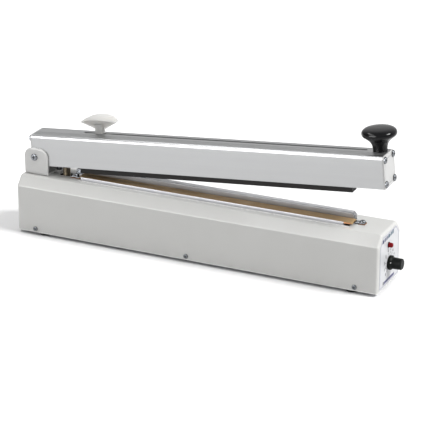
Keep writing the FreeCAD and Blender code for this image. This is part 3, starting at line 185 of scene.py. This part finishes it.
def coated(
    name, colour, roughness=0.45, tint=0.03, peel=900.0, peel_depth=0.00004,
    wear_and_highlight=None, wear_and_highlight_reach=0.0006, shade_reach=0.0, **sockets,
):
    """Painted or moulded surface: soft tone variation, fine skin texture, paler edges (edge wear, and on
    the housing's bends a painted highlight) and painted shade in corners.

    Peel is the scale of the skin texture and peel_depth its height. The edge colour given and its reach
    make the paler edges, and the corner reach is how far the painted shade comes out of a corner.
    """
    s = Shader(name)
    broad = s.noise(s.place(), PATCH_SCALE, 4.0)
    tone = s.remap(broad, NOISE_LOW, NOISE_HIGH, 0.0, 1.0)
    base = s.blend(tone, shade(colour, 1 - tint), shade(colour, 1 + tint))
    grain = s.noise(s.place(), peel, 2.0, 0.6)
    speck = s.remap(grain, 0.62, 0.75, 0.0, 0.35)
    base = s.blend(speck, base, shade(colour, 1 - 2.5 * tint))
    # Paler edges: edge wear, and where the edge colour is near white and reaches far, a painted highlight
    # along the bends
    if wear_and_highlight:
        edge_break = s.noise(s.place(), EDGE_BREAK_SCALE, 5.0, 0.7)
        mask = s.math("MULTIPLY", s.edges(wear_and_highlight_reach), s.remap(edge_break, 0.42, 0.62, 0.5, 1.0))
        base = s.blend(mask, base, wear_and_highlight)
    # Painted shade: colour darkened towards near black where another surface is close, in corners and
    # around screw heads
    if shade_reach:
        base = s.blend(s.crevices(shade_reach), shade(colour, 0.12), base)
    smudge = s.noise(s.place((1, 1.6, 1.3)), SMUDGE_SCALE, 5.0, 0.65)
    gloss = s.remap(smudge, NOISE_LOW, NOISE_HIGH, roughness - 0.06, roughness + 0.07)
    wave = s.bump(s.noise(s.place(), WAVE_SCALE, 2.0), 0.25, 0.00012)
    s.feed(s.surface, Base_Color=base, Roughness=gloss, Normal=s.bump(grain, 0.35, peel_depth, wave))
    s.feed(s.surface, **sockets)
    return s.material


def metal(
    name, colour, roughness=0.3, grain=(4.0, 900.0, 900.0), tilt=0.0, tint=0.06, depth=0.00003, dirt=0.25,
):
    """Drawn or brushed metal: lines along the axis where grain is smallest, stains and varied gloss."""
    s = Shader(name)
    lines = s.noise(s.place(grain, tilt), 1.0, 4.0, 0.7)
    bands = s.noise(s.place((1.2, 130.0, 130.0), tilt), 1.0, 3.0)
    stain = s.noise(s.place(), STAIN_SCALE, 5.0, 0.6)
    halves = [s.remap(part, NOISE_LOW, NOISE_HIGH, 0.0, 0.5) for part in (lines, bands)]
    tone = s.math("ADD", *halves)
    base = s.blend(tone, shade(colour, 1 - tint), shade(colour, 1 + tint))
    base = s.blend(s.remap(stain, 0.55, 0.8, 0.0, dirt), base, shade(colour, 0.86))
    # Painted highlight: edges lightened as if catching the light
    base = s.blend(s.math("MULTIPLY", s.edges(METAL_HIGHLIGHT_RIM), 0.5), base, shade(colour, 1.25))
    spread = 0.32 * dirt
    gloss = s.remap(s.math("ADD", lines, stain), 0.7, 1.3, roughness - spread, roughness + spread)
    s.feed(s.surface, Base_Color=base, Roughness=gloss, Metallic=1.0, Normal=s.bump(lines, 0.3, depth))
    return s.material


def turned_metal(name, colour, roughness=0.22, tint=0.08, shade_reach=0.0):
    """Plated or cast small parts: fine mottle, dull spots, edges lightened as painted highlights and
    painted shade in corners.
    """
    s = Shader(name)
    mottle = s.noise(s.place(), MOTTLE_SCALE, 4.0, 0.65)
    tone = s.remap(mottle, 0.35, 0.7, 0.0, 1.0)
    base = s.blend(tone, shade(colour, 1 - tint), shade(colour, 1 + tint))
    dull = s.noise(s.place(), DULL_SCALE, 3.0)
    # Painted highlight: edges lightened as if catching the light
    base = s.blend(s.math("MULTIPLY", s.edges(SMALL_HIGHLIGHT_RIM), 0.6), base, shade(colour, 1.3))
    # Painted shade: colour darkened towards near black in corners, recesses and where a head meets the
    # plate
    if shade_reach:
        base = s.blend(s.crevices(shade_reach), shade(colour, 0.08), base)
    gloss = s.remap(dull, NOISE_LOW, NOISE_HIGH, roughness - 0.06, roughness + 0.10)
    skin = s.bump(mottle, 0.2, 0.00003)
    s.feed(s.surface, Base_Color=base, Roughness=gloss, Metallic=1.0, Normal=skin)
    return s.material


def woven(name, warp, weft, pitch, roughness, depth, gloss):
    """Plain weave of two thread colours, closed by a coating. Pitch is the width of one thread."""
    s = Shader(name)
    threads = []
    for axis in ("X", "Y"):
        wave = s.add("ShaderNodeTexWave", wave_type="BANDS", bands_direction=axis, wave_profile="SIN")
        s.feed(wave, Vector=s.place(), Scale=math.pi / (10 * pitch), Distortion=0.4, Detail=1.0)
        threads.append(wave.outputs["Fac"])
    crossing = s.math("ABSOLUTE", s.math("SUBTRACT", threads[0], threads[1]))
    stain = s.noise(s.place((0.35, 1.0, 1.0)), 90.0, 5.0, 0.6)
    base = s.blend(crossing, warp, weft)
    base = s.blend(s.remap(stain, 0.42, 0.72, 0.0, 0.5), base, shade(warp, 0.62))
    dulled = s.remap(stain, NOISE_LOW, NOISE_HIGH, roughness - 0.08, roughness + 0.1)
    s.feed(s.surface, Base_Color=base, Roughness=dulled)
    s.feed(s.surface, Normal=s.bump(crossing, 0.5, depth), Specular_IOR_Level=0.2)
    s.feed(s.surface, Coat_Weight=gloss, Coat_Roughness=0.35)
    return s.material


# ------------------------------------------------------------------- finishes

BODY_PAINT = (0.490, 0.490, 0.476)
STEEL = (0.22, 0.23, 0.245)

FINISHES = {
    # Its near-white edge colour reaching 3 mm is a painted highlight along the housing's shoulder bends
    "powder_coat": coated(
        "Powder coat, warm grey", BODY_PAINT, roughness=0.36, tint=0.015, peel=1100.0,
        wear_and_highlight=(0.98, 0.98, 0.96), wear_and_highlight_reach=0.0030, Specular_IOR_Level=0.3, Coat_Weight=0.3,
        Coat_Roughness=0.14,
    ),
    "bracket_paint": coated(
        "Powder coat, bracket", (0.50, 0.50, 0.49), roughness=0.34, tint=0.02, peel=1100.0,
        wear_and_highlight=(0.82, 0.82, 0.81), Coat_Weight=0.4, Coat_Roughness=0.16,
    ),
    # Painted shade around the screw heads and in the plate's corners
    "end_plate_paint": coated(
        "Powder coat, end plate", (0.44, 0.44, 0.435), roughness=0.34, tint=0.015, peel=1100.0,
        shade_reach=0.0008,
    ),
    "zinc_sheet": metal(
        "Zinc-plated sheet", (0.60, 0.62, 0.65), roughness=0.36, grain=(60.0, 60.0, 60.0), tint=0.12,
    ),
    # Painted shade where the heads meet the plate and in the cross recesses
    "screw_steel": turned_metal("Nickel-plated screws", STEEL, roughness=0.16, shade_reach=0.002),
    "foot_rubber": coated(
        "Foot rubber", (0.010, 0.010, 0.010), roughness=0.72, tint=0.15, peel=1600.0,
        Specular_IOR_Level=0.3,
    ),
    "panel_print": coated(
        "Panel film", (0.485, 0.490, 0.505), roughness=0.38, tint=0.008, peel=1500.0,
        peel_depth=0.00002,
    ),
    "lamp_red": coated(
        "Lamp lens", (0.17, 0.004, 0.007), roughness=0.22, tint=0.06, peel=700.0, peel_depth=0.00002,
        Specular_IOR_Level=0.12,
    ),
    "black_plastic": coated(
        "Black gloss plastic", (0.004, 0.004, 0.0045), roughness=0.14, tint=0.1, peel=800.0,
        peel_depth=0.000008, Specular_IOR_Level=0.2,
    ),
    "knob_plastic": coated(
        "Black satin plastic", (0.005, 0.006, 0.0055), roughness=0.46, tint=0.12, peel=1500.0,
        peel_depth=0.00005, Specular_IOR_Level=0.12,
    ),
    "dot_white": coated("White fill", (0.50, 0.50, 0.49), roughness=0.40, tint=0.02, peel=2000.0),
    "pot_case": turned_metal("Stamped case", (0.52, 0.53, 0.54), roughness=0.35),
    "board_laminate": coated(
        "Coated laminate", (0.03, 0.12, 0.05), roughness=0.30, tint=0.12, peel=900.0,
    ),
    "brass_plated": turned_metal("Brass", (0.17, 0.145, 0.10), roughness=0.38),
    "relay_case": coated("Relay case", (0.03, 0.05, 0.13), roughness=0.35, tint=0.08, peel=1200.0),
    "capacitor_sleeve": coated(
        "Capacitor sleeve", (0.012, 0.014, 0.025), roughness=0.22, tint=0.1, peel=1200.0,
    ),
    "core_steel": metal(
        "Varnished core", (0.10, 0.09, 0.085), roughness=0.45, grain=(60.0, 2600.0, 60.0), tint=0.35,
    ),
    "coil_tape": coated("Coil tape", (0.48, 0.34, 0.05), roughness=0.35, tint=0.1, peel=700.0),
    "switch_case": coated("Switch case", (0.02, 0.02, 0.02), roughness=0.45, tint=0.12, peel=1400.0),
    "plunger_plastic": coated("Plunger", (0.50, 0.03, 0.02), roughness=0.35, tint=0.1, peel=1400.0),
    "spring_bronze": turned_metal(
        "Phosphor bronze wire", (0.20, 0.165, 0.115), roughness=0.40, tint=0.15,
    ),
    "anodised": metal("Anodised jaw", (0.60, 0.60, 0.62), roughness=0.30, grain=(3.0, 1500.0, 1500.0)),
    "silicone_black": coated(
        "Silicone strip", (0.008, 0.007, 0.0065), roughness=0.5, tint=0.1, peel=1300.0,
        Specular_IOR_Level=0.2,
    ),
    "cloth_tan": woven(
        "Coated glass cloth", (0.38, 0.245, 0.112), (0.45, 0.302, 0.150), pitch=0.0007, roughness=0.55,
        depth=0.00006, gloss=0.02,
    ),
    "tape_white": woven(
        "Glass tape", (0.60, 0.55, 0.45), (0.70, 0.65, 0.55), pitch=0.0005, roughness=0.6,
        depth=0.00005, gloss=0.0,
    ),
    "element_metal": metal(
        "Resistance ribbon", (0.42, 0.38, 0.34), roughness=0.3, grain=(3.0, 2000.0, 2000.0), tint=0.2,
    ),
    "copper": turned_metal("Heat-dulled copper", (0.58, 0.27, 0.13), roughness=0.3, tint=0.25),
    "pad_phenolic": coated("Phenolic pad", (0.22, 0.10, 0.04), roughness=0.5, tint=0.12, peel=900.0),
    "lead_insulation": coated(
        "Lead insulation", (0.16, 0.03, 0.02), roughness=0.45, tint=0.1, peel=1200.0,
    ),
    "white_plastic": coated(
        "White cutter plastic", (0.45, 0.447, 0.435), roughness=0.5, tint=0.012, peel=1300.0,
        peel_depth=0.00003, Specular_IOR_Level=0.25, Subsurface_Weight=0.8,
        Subsurface_Radius=(0.020, 0.019, 0.018), Subsurface_Scale=0.8,
    ),
    "carriage_plastic": coated(
        "Carriage plastic", (0.55, 0.54, 0.50), roughness=0.45, tint=0.03, peel=1200.0,
    ),
    "blade_steel": metal(
        "Blade steel", (0.55, 0.56, 0.58), roughness=0.18, grain=(900.0, 900.0, 6.0), tint=0.1,
    ),
}
ARM_ANODISED = metal(
    "Anodised arm", (0.375, 0.378, 0.381), roughness=0.36, grain=(2.0, 1400.0, 1400.0), tilt=ARM_TILT,
    tint=0.025, depth=0.000006, dirt=0.06,
)
GUIDE_ANODISED = metal(
    "Anodised guide", (0.34, 0.34, 0.35), roughness=0.34, grain=(3.0, 1500.0, 1500.0), tint=0.1,
)
CLAMP_ANODISED = metal(
    "Matt anodised clamp", (0.53, 0.53, 0.55), roughness=0.55, grain=(3.0, 1500.0, 1500.0), tint=0.05,
)
# Painted shade where the heads meet the wall and in the recesses
SIDE_SCREW_STEEL = turned_metal(
    "Side screws, darkened", (0.16, 0.17, 0.18), roughness=0.13, tint=0.12, shade_reach=0.0025,
)
# Near-black steel given to the spring seat as painted shade in the hole above it
HOLE_SHADE_STEEL = metal(
    "Steel painted as hole shade", (0.05, 0.05, 0.052), roughness=0.5, grain=(60.0, 60.0, 60.0), tint=0.2,
)


def ink(name, colour, tint):
    """Even printing ink."""
    return coated(name, colour, roughness=0.45, tint=tint, peel=2500.0, peel_depth=0.00001)


INK_BLUE = ink("Printed blue", (0.010, 0.020, 0.08), 0.1)
INK_VIOLET = ink("Printed grey violet", (0.11, 0.11, 0.21), 0.05)
INK_GREY_BLUE = ink("Printed grey blue", (0.050, 0.052, 0.13), 0.05)
INK_TEAL = ink("Printed teal", (0.010, 0.060, 0.10), 0.08)
INK_DARK = ink("Printed dark grey", (0.012, 0.014, 0.020), 0.1)

# Nodes with a finish of their own in place of their slot's
SPECIAL = {
    # The spring seat is near black as painted shade in its hole
    "spring_seat": HOLE_SHADE_STEEL,
    "housing_screws": SIDE_SCREW_STEEL,
    "arm_beam": ARM_ANODISED,
    "cutter_guide": GUIDE_ANODISED,
    "cover_clamp": CLAMP_ANODISED,
}

# Edge rounding of each node that needs another value than the usual one, in metres
USUAL_ROUND = 0.00025
ROUNDS = {
    "arm_beam": 0.0,
    "panel_label": 0.00008,
    "cutter_knob": 0.0,
    "press_knob": 0.0,
    "return_spring": 0.0,
    "heating_element": 0.00004,
    "insulation_tape": 0.00004,
    "cutter_blade": 0.0,
    "wiring": 0.0,
}
EDGE_ANGLE = math.radians(28)


def dress(name, node, slot):
    """Give a CAD node its finish, rounded edges and clean shading."""
    material = SPECIAL.get(name, FINISHES[slot])
    node.data.materials.clear()
    node.data.materials.append(material)
    for face in node.data.polygons:
        face.use_smooth = True
    weld = node.modifiers.new("Weld", "WELD")
    weld.merge_threshold = 0.000002
    width = ROUNDS.get(name, USUAL_ROUND)
    if not width:
        split = node.modifiers.new("Creases", "EDGE_SPLIT")
        split.split_angle = EDGE_ANGLE
        return
    bevel = node.modifiers.new("Edges", "BEVEL")
    bevel.width = width
    bevel.segments = 2
    bevel.limit_method = "ANGLE"
    bevel.angle_limit = EDGE_ANGLE
    bevel.harden_normals = False
    bevel.use_clamp_overlap = True
    weighted = node.modifiers.new("Normals", "WEIGHTED_NORMAL")
    weighted.keep_sharp = True
    weighted.weight = 100


for subpart in frame["record"]["subparts"]:
    dress(subpart["node"], NODES[subpart["node"]], subpart["material_slot"])


# ----------------------------------------------------------------- new pieces

def piece(name, mesh_data, body, material):
    """New object that rides on a body and takes the finish given."""
    made = bpy.data.objects.new(name, mesh_data)
    bpy.context.scene.collection.objects.link(made)
    made.data.materials.clear()
    made.data.materials.append(material)
    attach(made, body)
    return made


def plates(name, outlines, base_x, rise):
    """Thin plates standing on the panel, from closed (y, z) outlines in metres."""
    bm = bmesh.new()
    for outline in outlines:
        low = [bm.verts.new((base_x, y, z)) for y, z in outline]
        high = [bm.verts.new((base_x + rise, y, z)) for y, z in outline]
        bm.faces.new(high)
        bm.faces.new(list(reversed(low)))
        count = len(outline)
        for i in range(count):
            j = (i + 1) % count
            bm.faces.new((low[i], low[j], high[j], high[i]))
    bmesh.ops.recalc_face_normals(bm, faces=bm.faces)
    data = bpy.data.meshes.new(name)
    bm.to_mesh(data)
    bm.free()
    return data


PANEL_LOW, PANEL_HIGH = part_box("panel_label")
SHAFT_LOW, SHAFT_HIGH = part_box("timer_shaft")
PANEL_X = PANEL_HIGH.x
PRINT_RISE = 0.00006
PRINT_SINK = 0.00002

# The panel's top corners are cut off by this much down and across. A line set in from the cut
# corner shifts along the upright and the top by its inset times this share.
PANEL_SHOULDER_DROP = 0.011
PANEL_SHOULDER_RUN = 0.0105
CORNER_SHARE = 0.42

# Border line, marks along the top, and bar with a mark along the foot
BORDER_INSET = 0.0014
BORDER_WIDTH = 0.0006
TITLE_START_Y = -0.0255
TITLE_LOW_Z = 0.0676
TITLE_SLOPE = 0.05
TITLE_HEIGHT = 0.0049
TITLE_LEAN = 0.0009
TITLE_GAP = 0.0019
SLATE_WIDTHS = (0.0052, 0.0038, 0.0044)
TEAL_WIDTHS = (0.0064, 0.0040, 0.0046)
FOOT_BAR = (-0.0170, 0.0180, 0.0098, 0.0134)
FOOT_MARK = (-0.0210, -0.0182, 0.0096, 0.0138)

# Dial scale: ticks and figures 0 to 9, clockwise from the lower left
DIAL_CENTRE_Z = (SHAFT_LOW.z + SHAFT_HIGH.z) / 2
DIAL_ANGLES = [math.radians(-135 + 30 * i) for i in range(10)]
TICK_NEAR = 0.0122
TICK_FAR = 0.0142
TICK_HALF_WIDTH = 0.00045
FIGURE_REACH = 0.0174
FIGURE_SIZE = 0.0050
FIGURE_BOLDNESS = 0.00028


def bar(y0, y1, z0, z1, lean=0.0):
    """Corner points of a flat bar, its top shifted to the rear by lean."""
    return [(y0, z0), (y1, z0), (y1 + lean, z1), (y0 + lean, z1)]


def frame_line(inset, width):
    """Border line of the panel, as strips between two inset outlines."""
    half, bottom, top = PANEL_HIGH.y, PANEL_LOW.z, PANEL_HIGH.z
    top_half, shoulder = half - PANEL_SHOULDER_RUN, top - PANEL_SHOULDER_DROP

    def outline(gap):
        slant = gap * CORNER_SHARE
        return [
            (-half + gap, bottom + gap),
            (-half + gap, shoulder - slant),
            (-top_half + slant, top - gap),
            (top_half - slant, top - gap),
            (half - gap, shoulder - slant),
            (half - gap, bottom + gap),
        ]

    outer, inner = outline(inset), outline(inset + width)
    count = len(outer)
    return [[outer[i], outer[(i + 1) % count], inner[(i + 1) % count], inner[i]] for i in range(count)]


def printed(name, outlines, material):
    """Piece of flat printing on the panel."""
    data = plates(name, outlines, PANEL_X - PRINT_SINK, PRINT_RISE)
    piece(name, data, "base", material)


def title_marks():
    """Row of marks along the top of the panel, rising a little to the rear."""
    marks = []
    y = TITLE_START_Y
    for width in SLATE_WIDTHS + TEAL_WIDTHS:
        z = TITLE_LOW_Z + (y - TITLE_START_Y) * TITLE_SLOPE
        marks.append(bar(y, y + width, z, z + TITLE_HEIGHT, TITLE_LEAN))
        y += width + TITLE_GAP
    return marks


TITLE_MARKS = title_marks()
printed("panel_border", frame_line(BORDER_INSET, BORDER_WIDTH), INK_VIOLET)
printed("panel_title_slate", TITLE_MARKS[:len(SLATE_WIDTHS)], INK_BLUE)
printed("panel_title_teal", TITLE_MARKS[len(SLATE_WIDTHS):], INK_TEAL)
printed("panel_foot_bar", [bar(*FOOT_BAR)], INK_GREY_BLUE)
printed("panel_foot_mark", [bar(*FOOT_MARK)], INK_DARK)


def dial_ticks():
    """Scale marks around the timer knob."""
    marks = []
    for angle in DIAL_ANGLES:
        reach = Vector((math.sin(angle), math.cos(angle)))
        side = Vector((reach.y, -reach.x)) * TICK_HALF_WIDTH
        near, far = reach * TICK_NEAR, reach * TICK_FAR
        corners = (near - side, near + side, far + side, far - side)
        marks.append([(c.x, c.y + DIAL_CENTRE_Z) for c in corners])
    return marks


printed("dial_ticks", dial_ticks(), INK_DARK)


def dial_numbers():
    """Figures outside the ticks, as one mesh."""
    joined = bmesh.new()
    upright = Matrix(((0, 0, 1), (1, 0, 0), (0, 1, 0))).to_4x4()
    for number, angle in enumerate(DIAL_ANGLES):
        text = bpy.data.curves.new("figure", "FONT")
        text.body = str(number)
        text.size = FIGURE_SIZE
        text.offset = FIGURE_BOLDNESS
        text.extrude = PRINT_RISE / 2
        text.align_x = "CENTER"
        text.align_y = "CENTER"
        holder = bpy.data.objects.new("figure", text)
        figure = bpy.data.meshes.new_from_object(holder)
        y, z = math.sin(angle) * FIGURE_REACH, math.cos(angle) * FIGURE_REACH
        centre = Vector((PANEL_X, y, DIAL_CENTRE_Z + z))
        figure.transform(Matrix.Translation(centre) @ upright)
        joined.from_mesh(figure)
        bpy.data.objects.remove(holder)
        bpy.data.curves.remove(text)
        bpy.data.meshes.remove(figure)
    data = bpy.data.meshes.new("dial_numbers")
    joined.to_mesh(data)
    joined.free()
    return data


piece("dial_numbers", dial_numbers(), "base", INK_DARK)


# --------------------------------------------------------------- sealing cloth

CLOTH_LOW, CLOTH_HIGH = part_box("cover_cloth")
ELEMENT_LOW, ELEMENT_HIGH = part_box("heating_element")
CLOTH_COLUMNS = 260
CLOTH_ROWS = 26
CLOTH_SKIN = 0.00014
CLOTH_LIFT = 0.00006

# How far the cloth runs past its CAD sheet at the two ends, and how ragged its left end is
LEFT_FLAP = 0.0025
RIGHT_FLAP = 0.0006
FRAY = 0.0004

# Ridge over the ribbon, small puckers, and how far the long edges tuck down
RIDGE_HALF_WIDTH = 0.0021
RIDGE_HEIGHT = 0.00016
PUCKER_HEIGHT = 0.00003
REAR_TUCK, REAR_TUCK_RUN = 0.0007, 0.0012
FRONT_TUCK, FRONT_TUCK_RUN = 0.0006, 0.0007

# Droop of the two ends, the extra droop of their front corners, and where each begins
CORNER_RUN = 0.007
LEFT_DROOP, LEFT_CORNER_DROOP, LEFT_RUN = 0.0002, 0.0018, 0.0015
RIGHT_DROOP, RIGHT_CORNER_DROOP, RIGHT_RUN = 0.0008, 0.0012, 0.0022
RIGHT_DROOP_REACH = 0.0008


def smooth_step(low, high, value):
    """0 at low and 1 at high, easing in and out. Low may be the greater."""
    share = max(0.0, min(1.0, (value - low) / (high - low)))
    return share * share * (3 - 2 * share)


def cloth_height(x, y):
    """Height of the cloth: tight over the ribbon, tucked down along both edges, drooping at the ends."""
    ridge_mid = (ELEMENT_LOW.y + ELEMENT_HIGH.y) / 2
    ridge = math.exp(-((y - ridge_mid) / RIDGE_HALF_WIDTH) ** 4) * RIDGE_HEIGHT
    pucker = PUCKER_HEIGHT * math.sin(x * 410 + 3 * math.sin(x * 57)) * math.cos(y * 500 + x * 90)
    rear = smooth_step(CLOTH_HIGH.y - REAR_TUCK_RUN, CLOTH_HIGH.y, y) * REAR_TUCK
    front = smooth_step(CLOTH_LOW.y + FRONT_TUCK_RUN, CLOTH_LOW.y, y) * FRONT_TUCK
    left = smooth_step(CLOTH_LOW.x + LEFT_RUN, CLOTH_LOW.x - LEFT_FLAP, x)
    right = smooth_step(CLOTH_HIGH.x - RIGHT_RUN, CLOTH_HIGH.x + RIGHT_DROOP_REACH, x)
    corner = smooth_step(CLOTH_LOW.y + CORNER_RUN, CLOTH_LOW.y, y)
    left_droop = left * (LEFT_DROOP + LEFT_CORNER_DROOP * corner)
    right_droop = right * (RIGHT_DROOP + RIGHT_CORNER_DROOP * corner)
    return CLOTH_LOW.z + CLOTH_LIFT + ridge + pucker - rear - front - left_droop - right_droop


def sealing_cloth():
    """One sheet over the whole jaw, with a ragged left end."""
    bm = bmesh.new()
    start, end = CLOTH_LOW.x - LEFT_FLAP, CLOTH_HIGH.x + RIGHT_FLAP
    grid = []
    for i in range(CLOTH_COLUMNS + 1):
        x = start + (end - start) * i / CLOTH_COLUMNS
        column = []
        for j in range(CLOTH_ROWS + 1):
            y = CLOTH_LOW.y + (CLOTH_HIGH.y - CLOTH_LOW.y) * j / CLOTH_ROWS
            frayed = FRAY * math.sin(y * 2600) * math.sin(y * 910) if i == 0 else 0.0
            column.append(bm.verts.new((x + frayed, y, cloth_height(x, y))))
        grid.append(column)
    for left, right in zip(grid, grid[1:]):
        for j in range(CLOTH_ROWS):
            bm.faces.new((left[j], right[j], right[j + 1], left[j + 1]))
    data = bpy.data.meshes.new("sealing_cloth")
    bm.to_mesh(data)
    bm.free()
    for face in data.polygons:
        face.use_smooth = True
    return data


cloth = piece("sealing_cloth", sealing_cloth(), "base", FINISHES["cloth_tan"])
skin = cloth.modifiers.new("Thickness", "SOLIDIFY")
skin.thickness = CLOTH_SKIN
skin.offset = 1.0
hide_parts("cover_cloth")


# --------------------------------------------------------------- floor and light

FLOOR_REACH = 14.0

# Grey of the surrounding light by height, 0 being level or below and 1 overhead, and the light
# added in front and behind
WORLD_STOPS = ((0.0, 0.28), (0.25, 0.32), (0.50, 0.48), (0.75, 0.60), (1.0, 0.62))
FRONT_LIGHT = 0.345
REAR_LIGHT = 0.78
WORLD_STRENGTH = 0.78
SEEN_STRENGTH = 1.1


def stage_floor():
    """Plain white floor, a little uneven in tone."""
    s = Shader("Floor")
    mottle = s.noise(s.place(), 3.0, 3.0)
    tone = s.remap(mottle, NOISE_LOW, NOISE_HIGH, 0.0, 1.0)
    base = s.blend(tone, (0.79, 0.79, 0.79), (0.81, 0.81, 0.81))
    s.feed(s.surface, Base_Color=base, Roughness=0.9, Specular_IOR_Level=0.1)
    data = bpy.data.meshes.new("floor")
    signs = ((-1, -1), (1, -1), (1, 1), (-1, 1))
    corners = [(x * FLOOR_REACH, y * FLOOR_REACH, 0) for x, y in signs]
    data.from_pydata(corners, [], [(0, 1, 2, 3)])
    data.materials.append(s.material)
    floor = bpy.data.objects.new("floor", data)
    bpy.context.scene.collection.objects.link(floor)


def studio_world():
    """Plain white where the camera sees it; as light, brighter above, in front and behind."""
    world = bpy.data.worlds.new("Studio")
    bpy.context.scene.world = world
    world.use_nodes = True
    tree = world.node_tree
    tree.nodes.clear()

    def add(kind, **settings):
        made = tree.nodes.new(kind)
        for key, value in settings.items():
            setattr(made, key, value)
        return made

    direction = add("ShaderNodeTexCoord").outputs["Generated"]
    split = add("ShaderNodeSeparateXYZ")
    tree.links.new(direction, split.inputs[0])
    ramp = add("ShaderNodeValToRGB")
    while len(ramp.color_ramp.elements) < len(WORLD_STOPS):
        ramp.color_ramp.elements.new(0.5)
    for element, (position, grey) in zip(ramp.color_ramp.elements, WORLD_STOPS):
        element.position = position
        element.color = (grey, grey, grey * 1.01, 1.0)
    tree.links.new(split.outputs["Z"], ramp.inputs["Fac"])
    sides = add("ShaderNodeMath", operation="ADD")
    for socket, sign, light in zip(sides.inputs, (-1, 1), (FRONT_LIGHT, REAR_LIGHT)):
        side = add("ShaderNodeMapRange")
        side.inputs["From Min"].default_value = 0.2 * sign
        side.inputs["From Max"].default_value = 0.9 * sign
        side.inputs["To Min"].default_value = 0.0
        side.inputs["To Max"].default_value = light
        tree.links.new(split.outputs["Y"], side.inputs["Value"])
        tree.links.new(side.outputs["Result"], socket)
    both = add("ShaderNodeVectorMath", operation="ADD")
    tree.links.new(ramp.outputs["Color"], both.inputs[0])
    tree.links.new(sides.outputs["Value"], both.inputs[1])
    lighting = add("ShaderNodeBackground")
    tree.links.new(both.outputs["Vector"], lighting.inputs["Color"])
    lighting.inputs["Strength"].default_value = WORLD_STRENGTH
    seen = add("ShaderNodeBackground")
    seen.inputs["Color"].default_value = (1, 1, 1, 1)
    seen.inputs["Strength"].default_value = SEEN_STRENGTH
    mix = add("ShaderNodeMixShader")
    tree.links.new(add("ShaderNodeLightPath").outputs["Is Camera Ray"], mix.inputs[0])
    tree.links.new(lighting.outputs[0], mix.inputs[1])
    tree.links.new(seen.outputs[0], mix.inputs[2])
    output = add("ShaderNodeOutputWorld")
    tree.links.new(mix.outputs[0], output.inputs["Surface"])


def hang(name, data, towards):
    """Light object that shines from the direction given."""
    lamp = bpy.data.objects.new(name, data)
    bpy.context.scene.collection.objects.link(lamp)
    lamp.rotation_mode = "QUATERNION"
    lamp.rotation_quaternion = Vector(towards).to_track_quat("Z", "Y")
    return lamp


def sun(name, towards, strength, spread):
    """Soft directional light, its spread in degrees."""
    data = bpy.data.lights.new(name, "SUN")
    data.energy = strength
    data.angle = math.radians(spread)
    hang(name, data, towards)


def softbox(name, place, aim, size, power, gloss_only=False):
    """Rectangular area light at a place, facing a point, which may light only reflections."""
    data = bpy.data.lights.new(name, "AREA")
    data.shape = "RECTANGLE"
    data.size, data.size_y = size
    data.energy = power
    lamp = hang(name, data, Vector(place) - Vector(aim))
    lamp.location = place
    lamp.visible_diffuse = not gloss_only


stage_floor()
studio_world()
sun("Key", towards=(0.66, 0.09, 0.70), strength=3.6, spread=22.0)
softbox(
    "Overhead strip", place=(-0.46, -0.20, 1.15), aim=(0.0, 0.0, 0.12), size=(1.20, 0.22), power=5.0,
)
softbox(
    "Front reflector", place=(-1.22, -2.55, 1.32), aim=(0.0, 0.0, 0.10), size=(2.4, 1.7), power=115.0,
    gloss_only=True,
)


# --------------------------------------------------------------------- camera

def place_camera():
    """Camera at its place, turned by azimuth, elevation and roll."""
    cos_el, sin_el = math.cos(CAMERA_ELEVATION), math.sin(CAMERA_ELEVATION)
    back = Vector((math.sin(CAMERA_AZIMUTH) * cos_el, -math.cos(CAMERA_AZIMUTH) * cos_el, sin_el))
    right = (-back).cross(Vector((0, 0, 1))).normalized()
    up = right.cross(-back)
    turned_right = math.cos(CAMERA_ROLL) * right + math.sin(CAMERA_ROLL) * up
    turned_up = -math.sin(CAMERA_ROLL) * right + math.cos(CAMERA_ROLL) * up
    data = bpy.data.cameras.new("Camera")
    data.sensor_width = SENSOR_WIDTH
    data.lens = CAMERA_LENS
    data.clip_start = 0.05
    data.clip_end = 60.0
    camera = bpy.data.objects.new("Camera", data)
    bpy.context.scene.collection.objects.link(camera)
    axes = Matrix((turned_right, turned_up, back)).transposed().to_4x4()
    camera.matrix_world = Matrix.Translation(CAMERA_PLACE) @ axes
    bpy.context.scene.camera = camera


place_camera()
bpy.context.scene.view_settings.view_transform = "Standard"
bpy.context.scene.view_settings.look = "None"
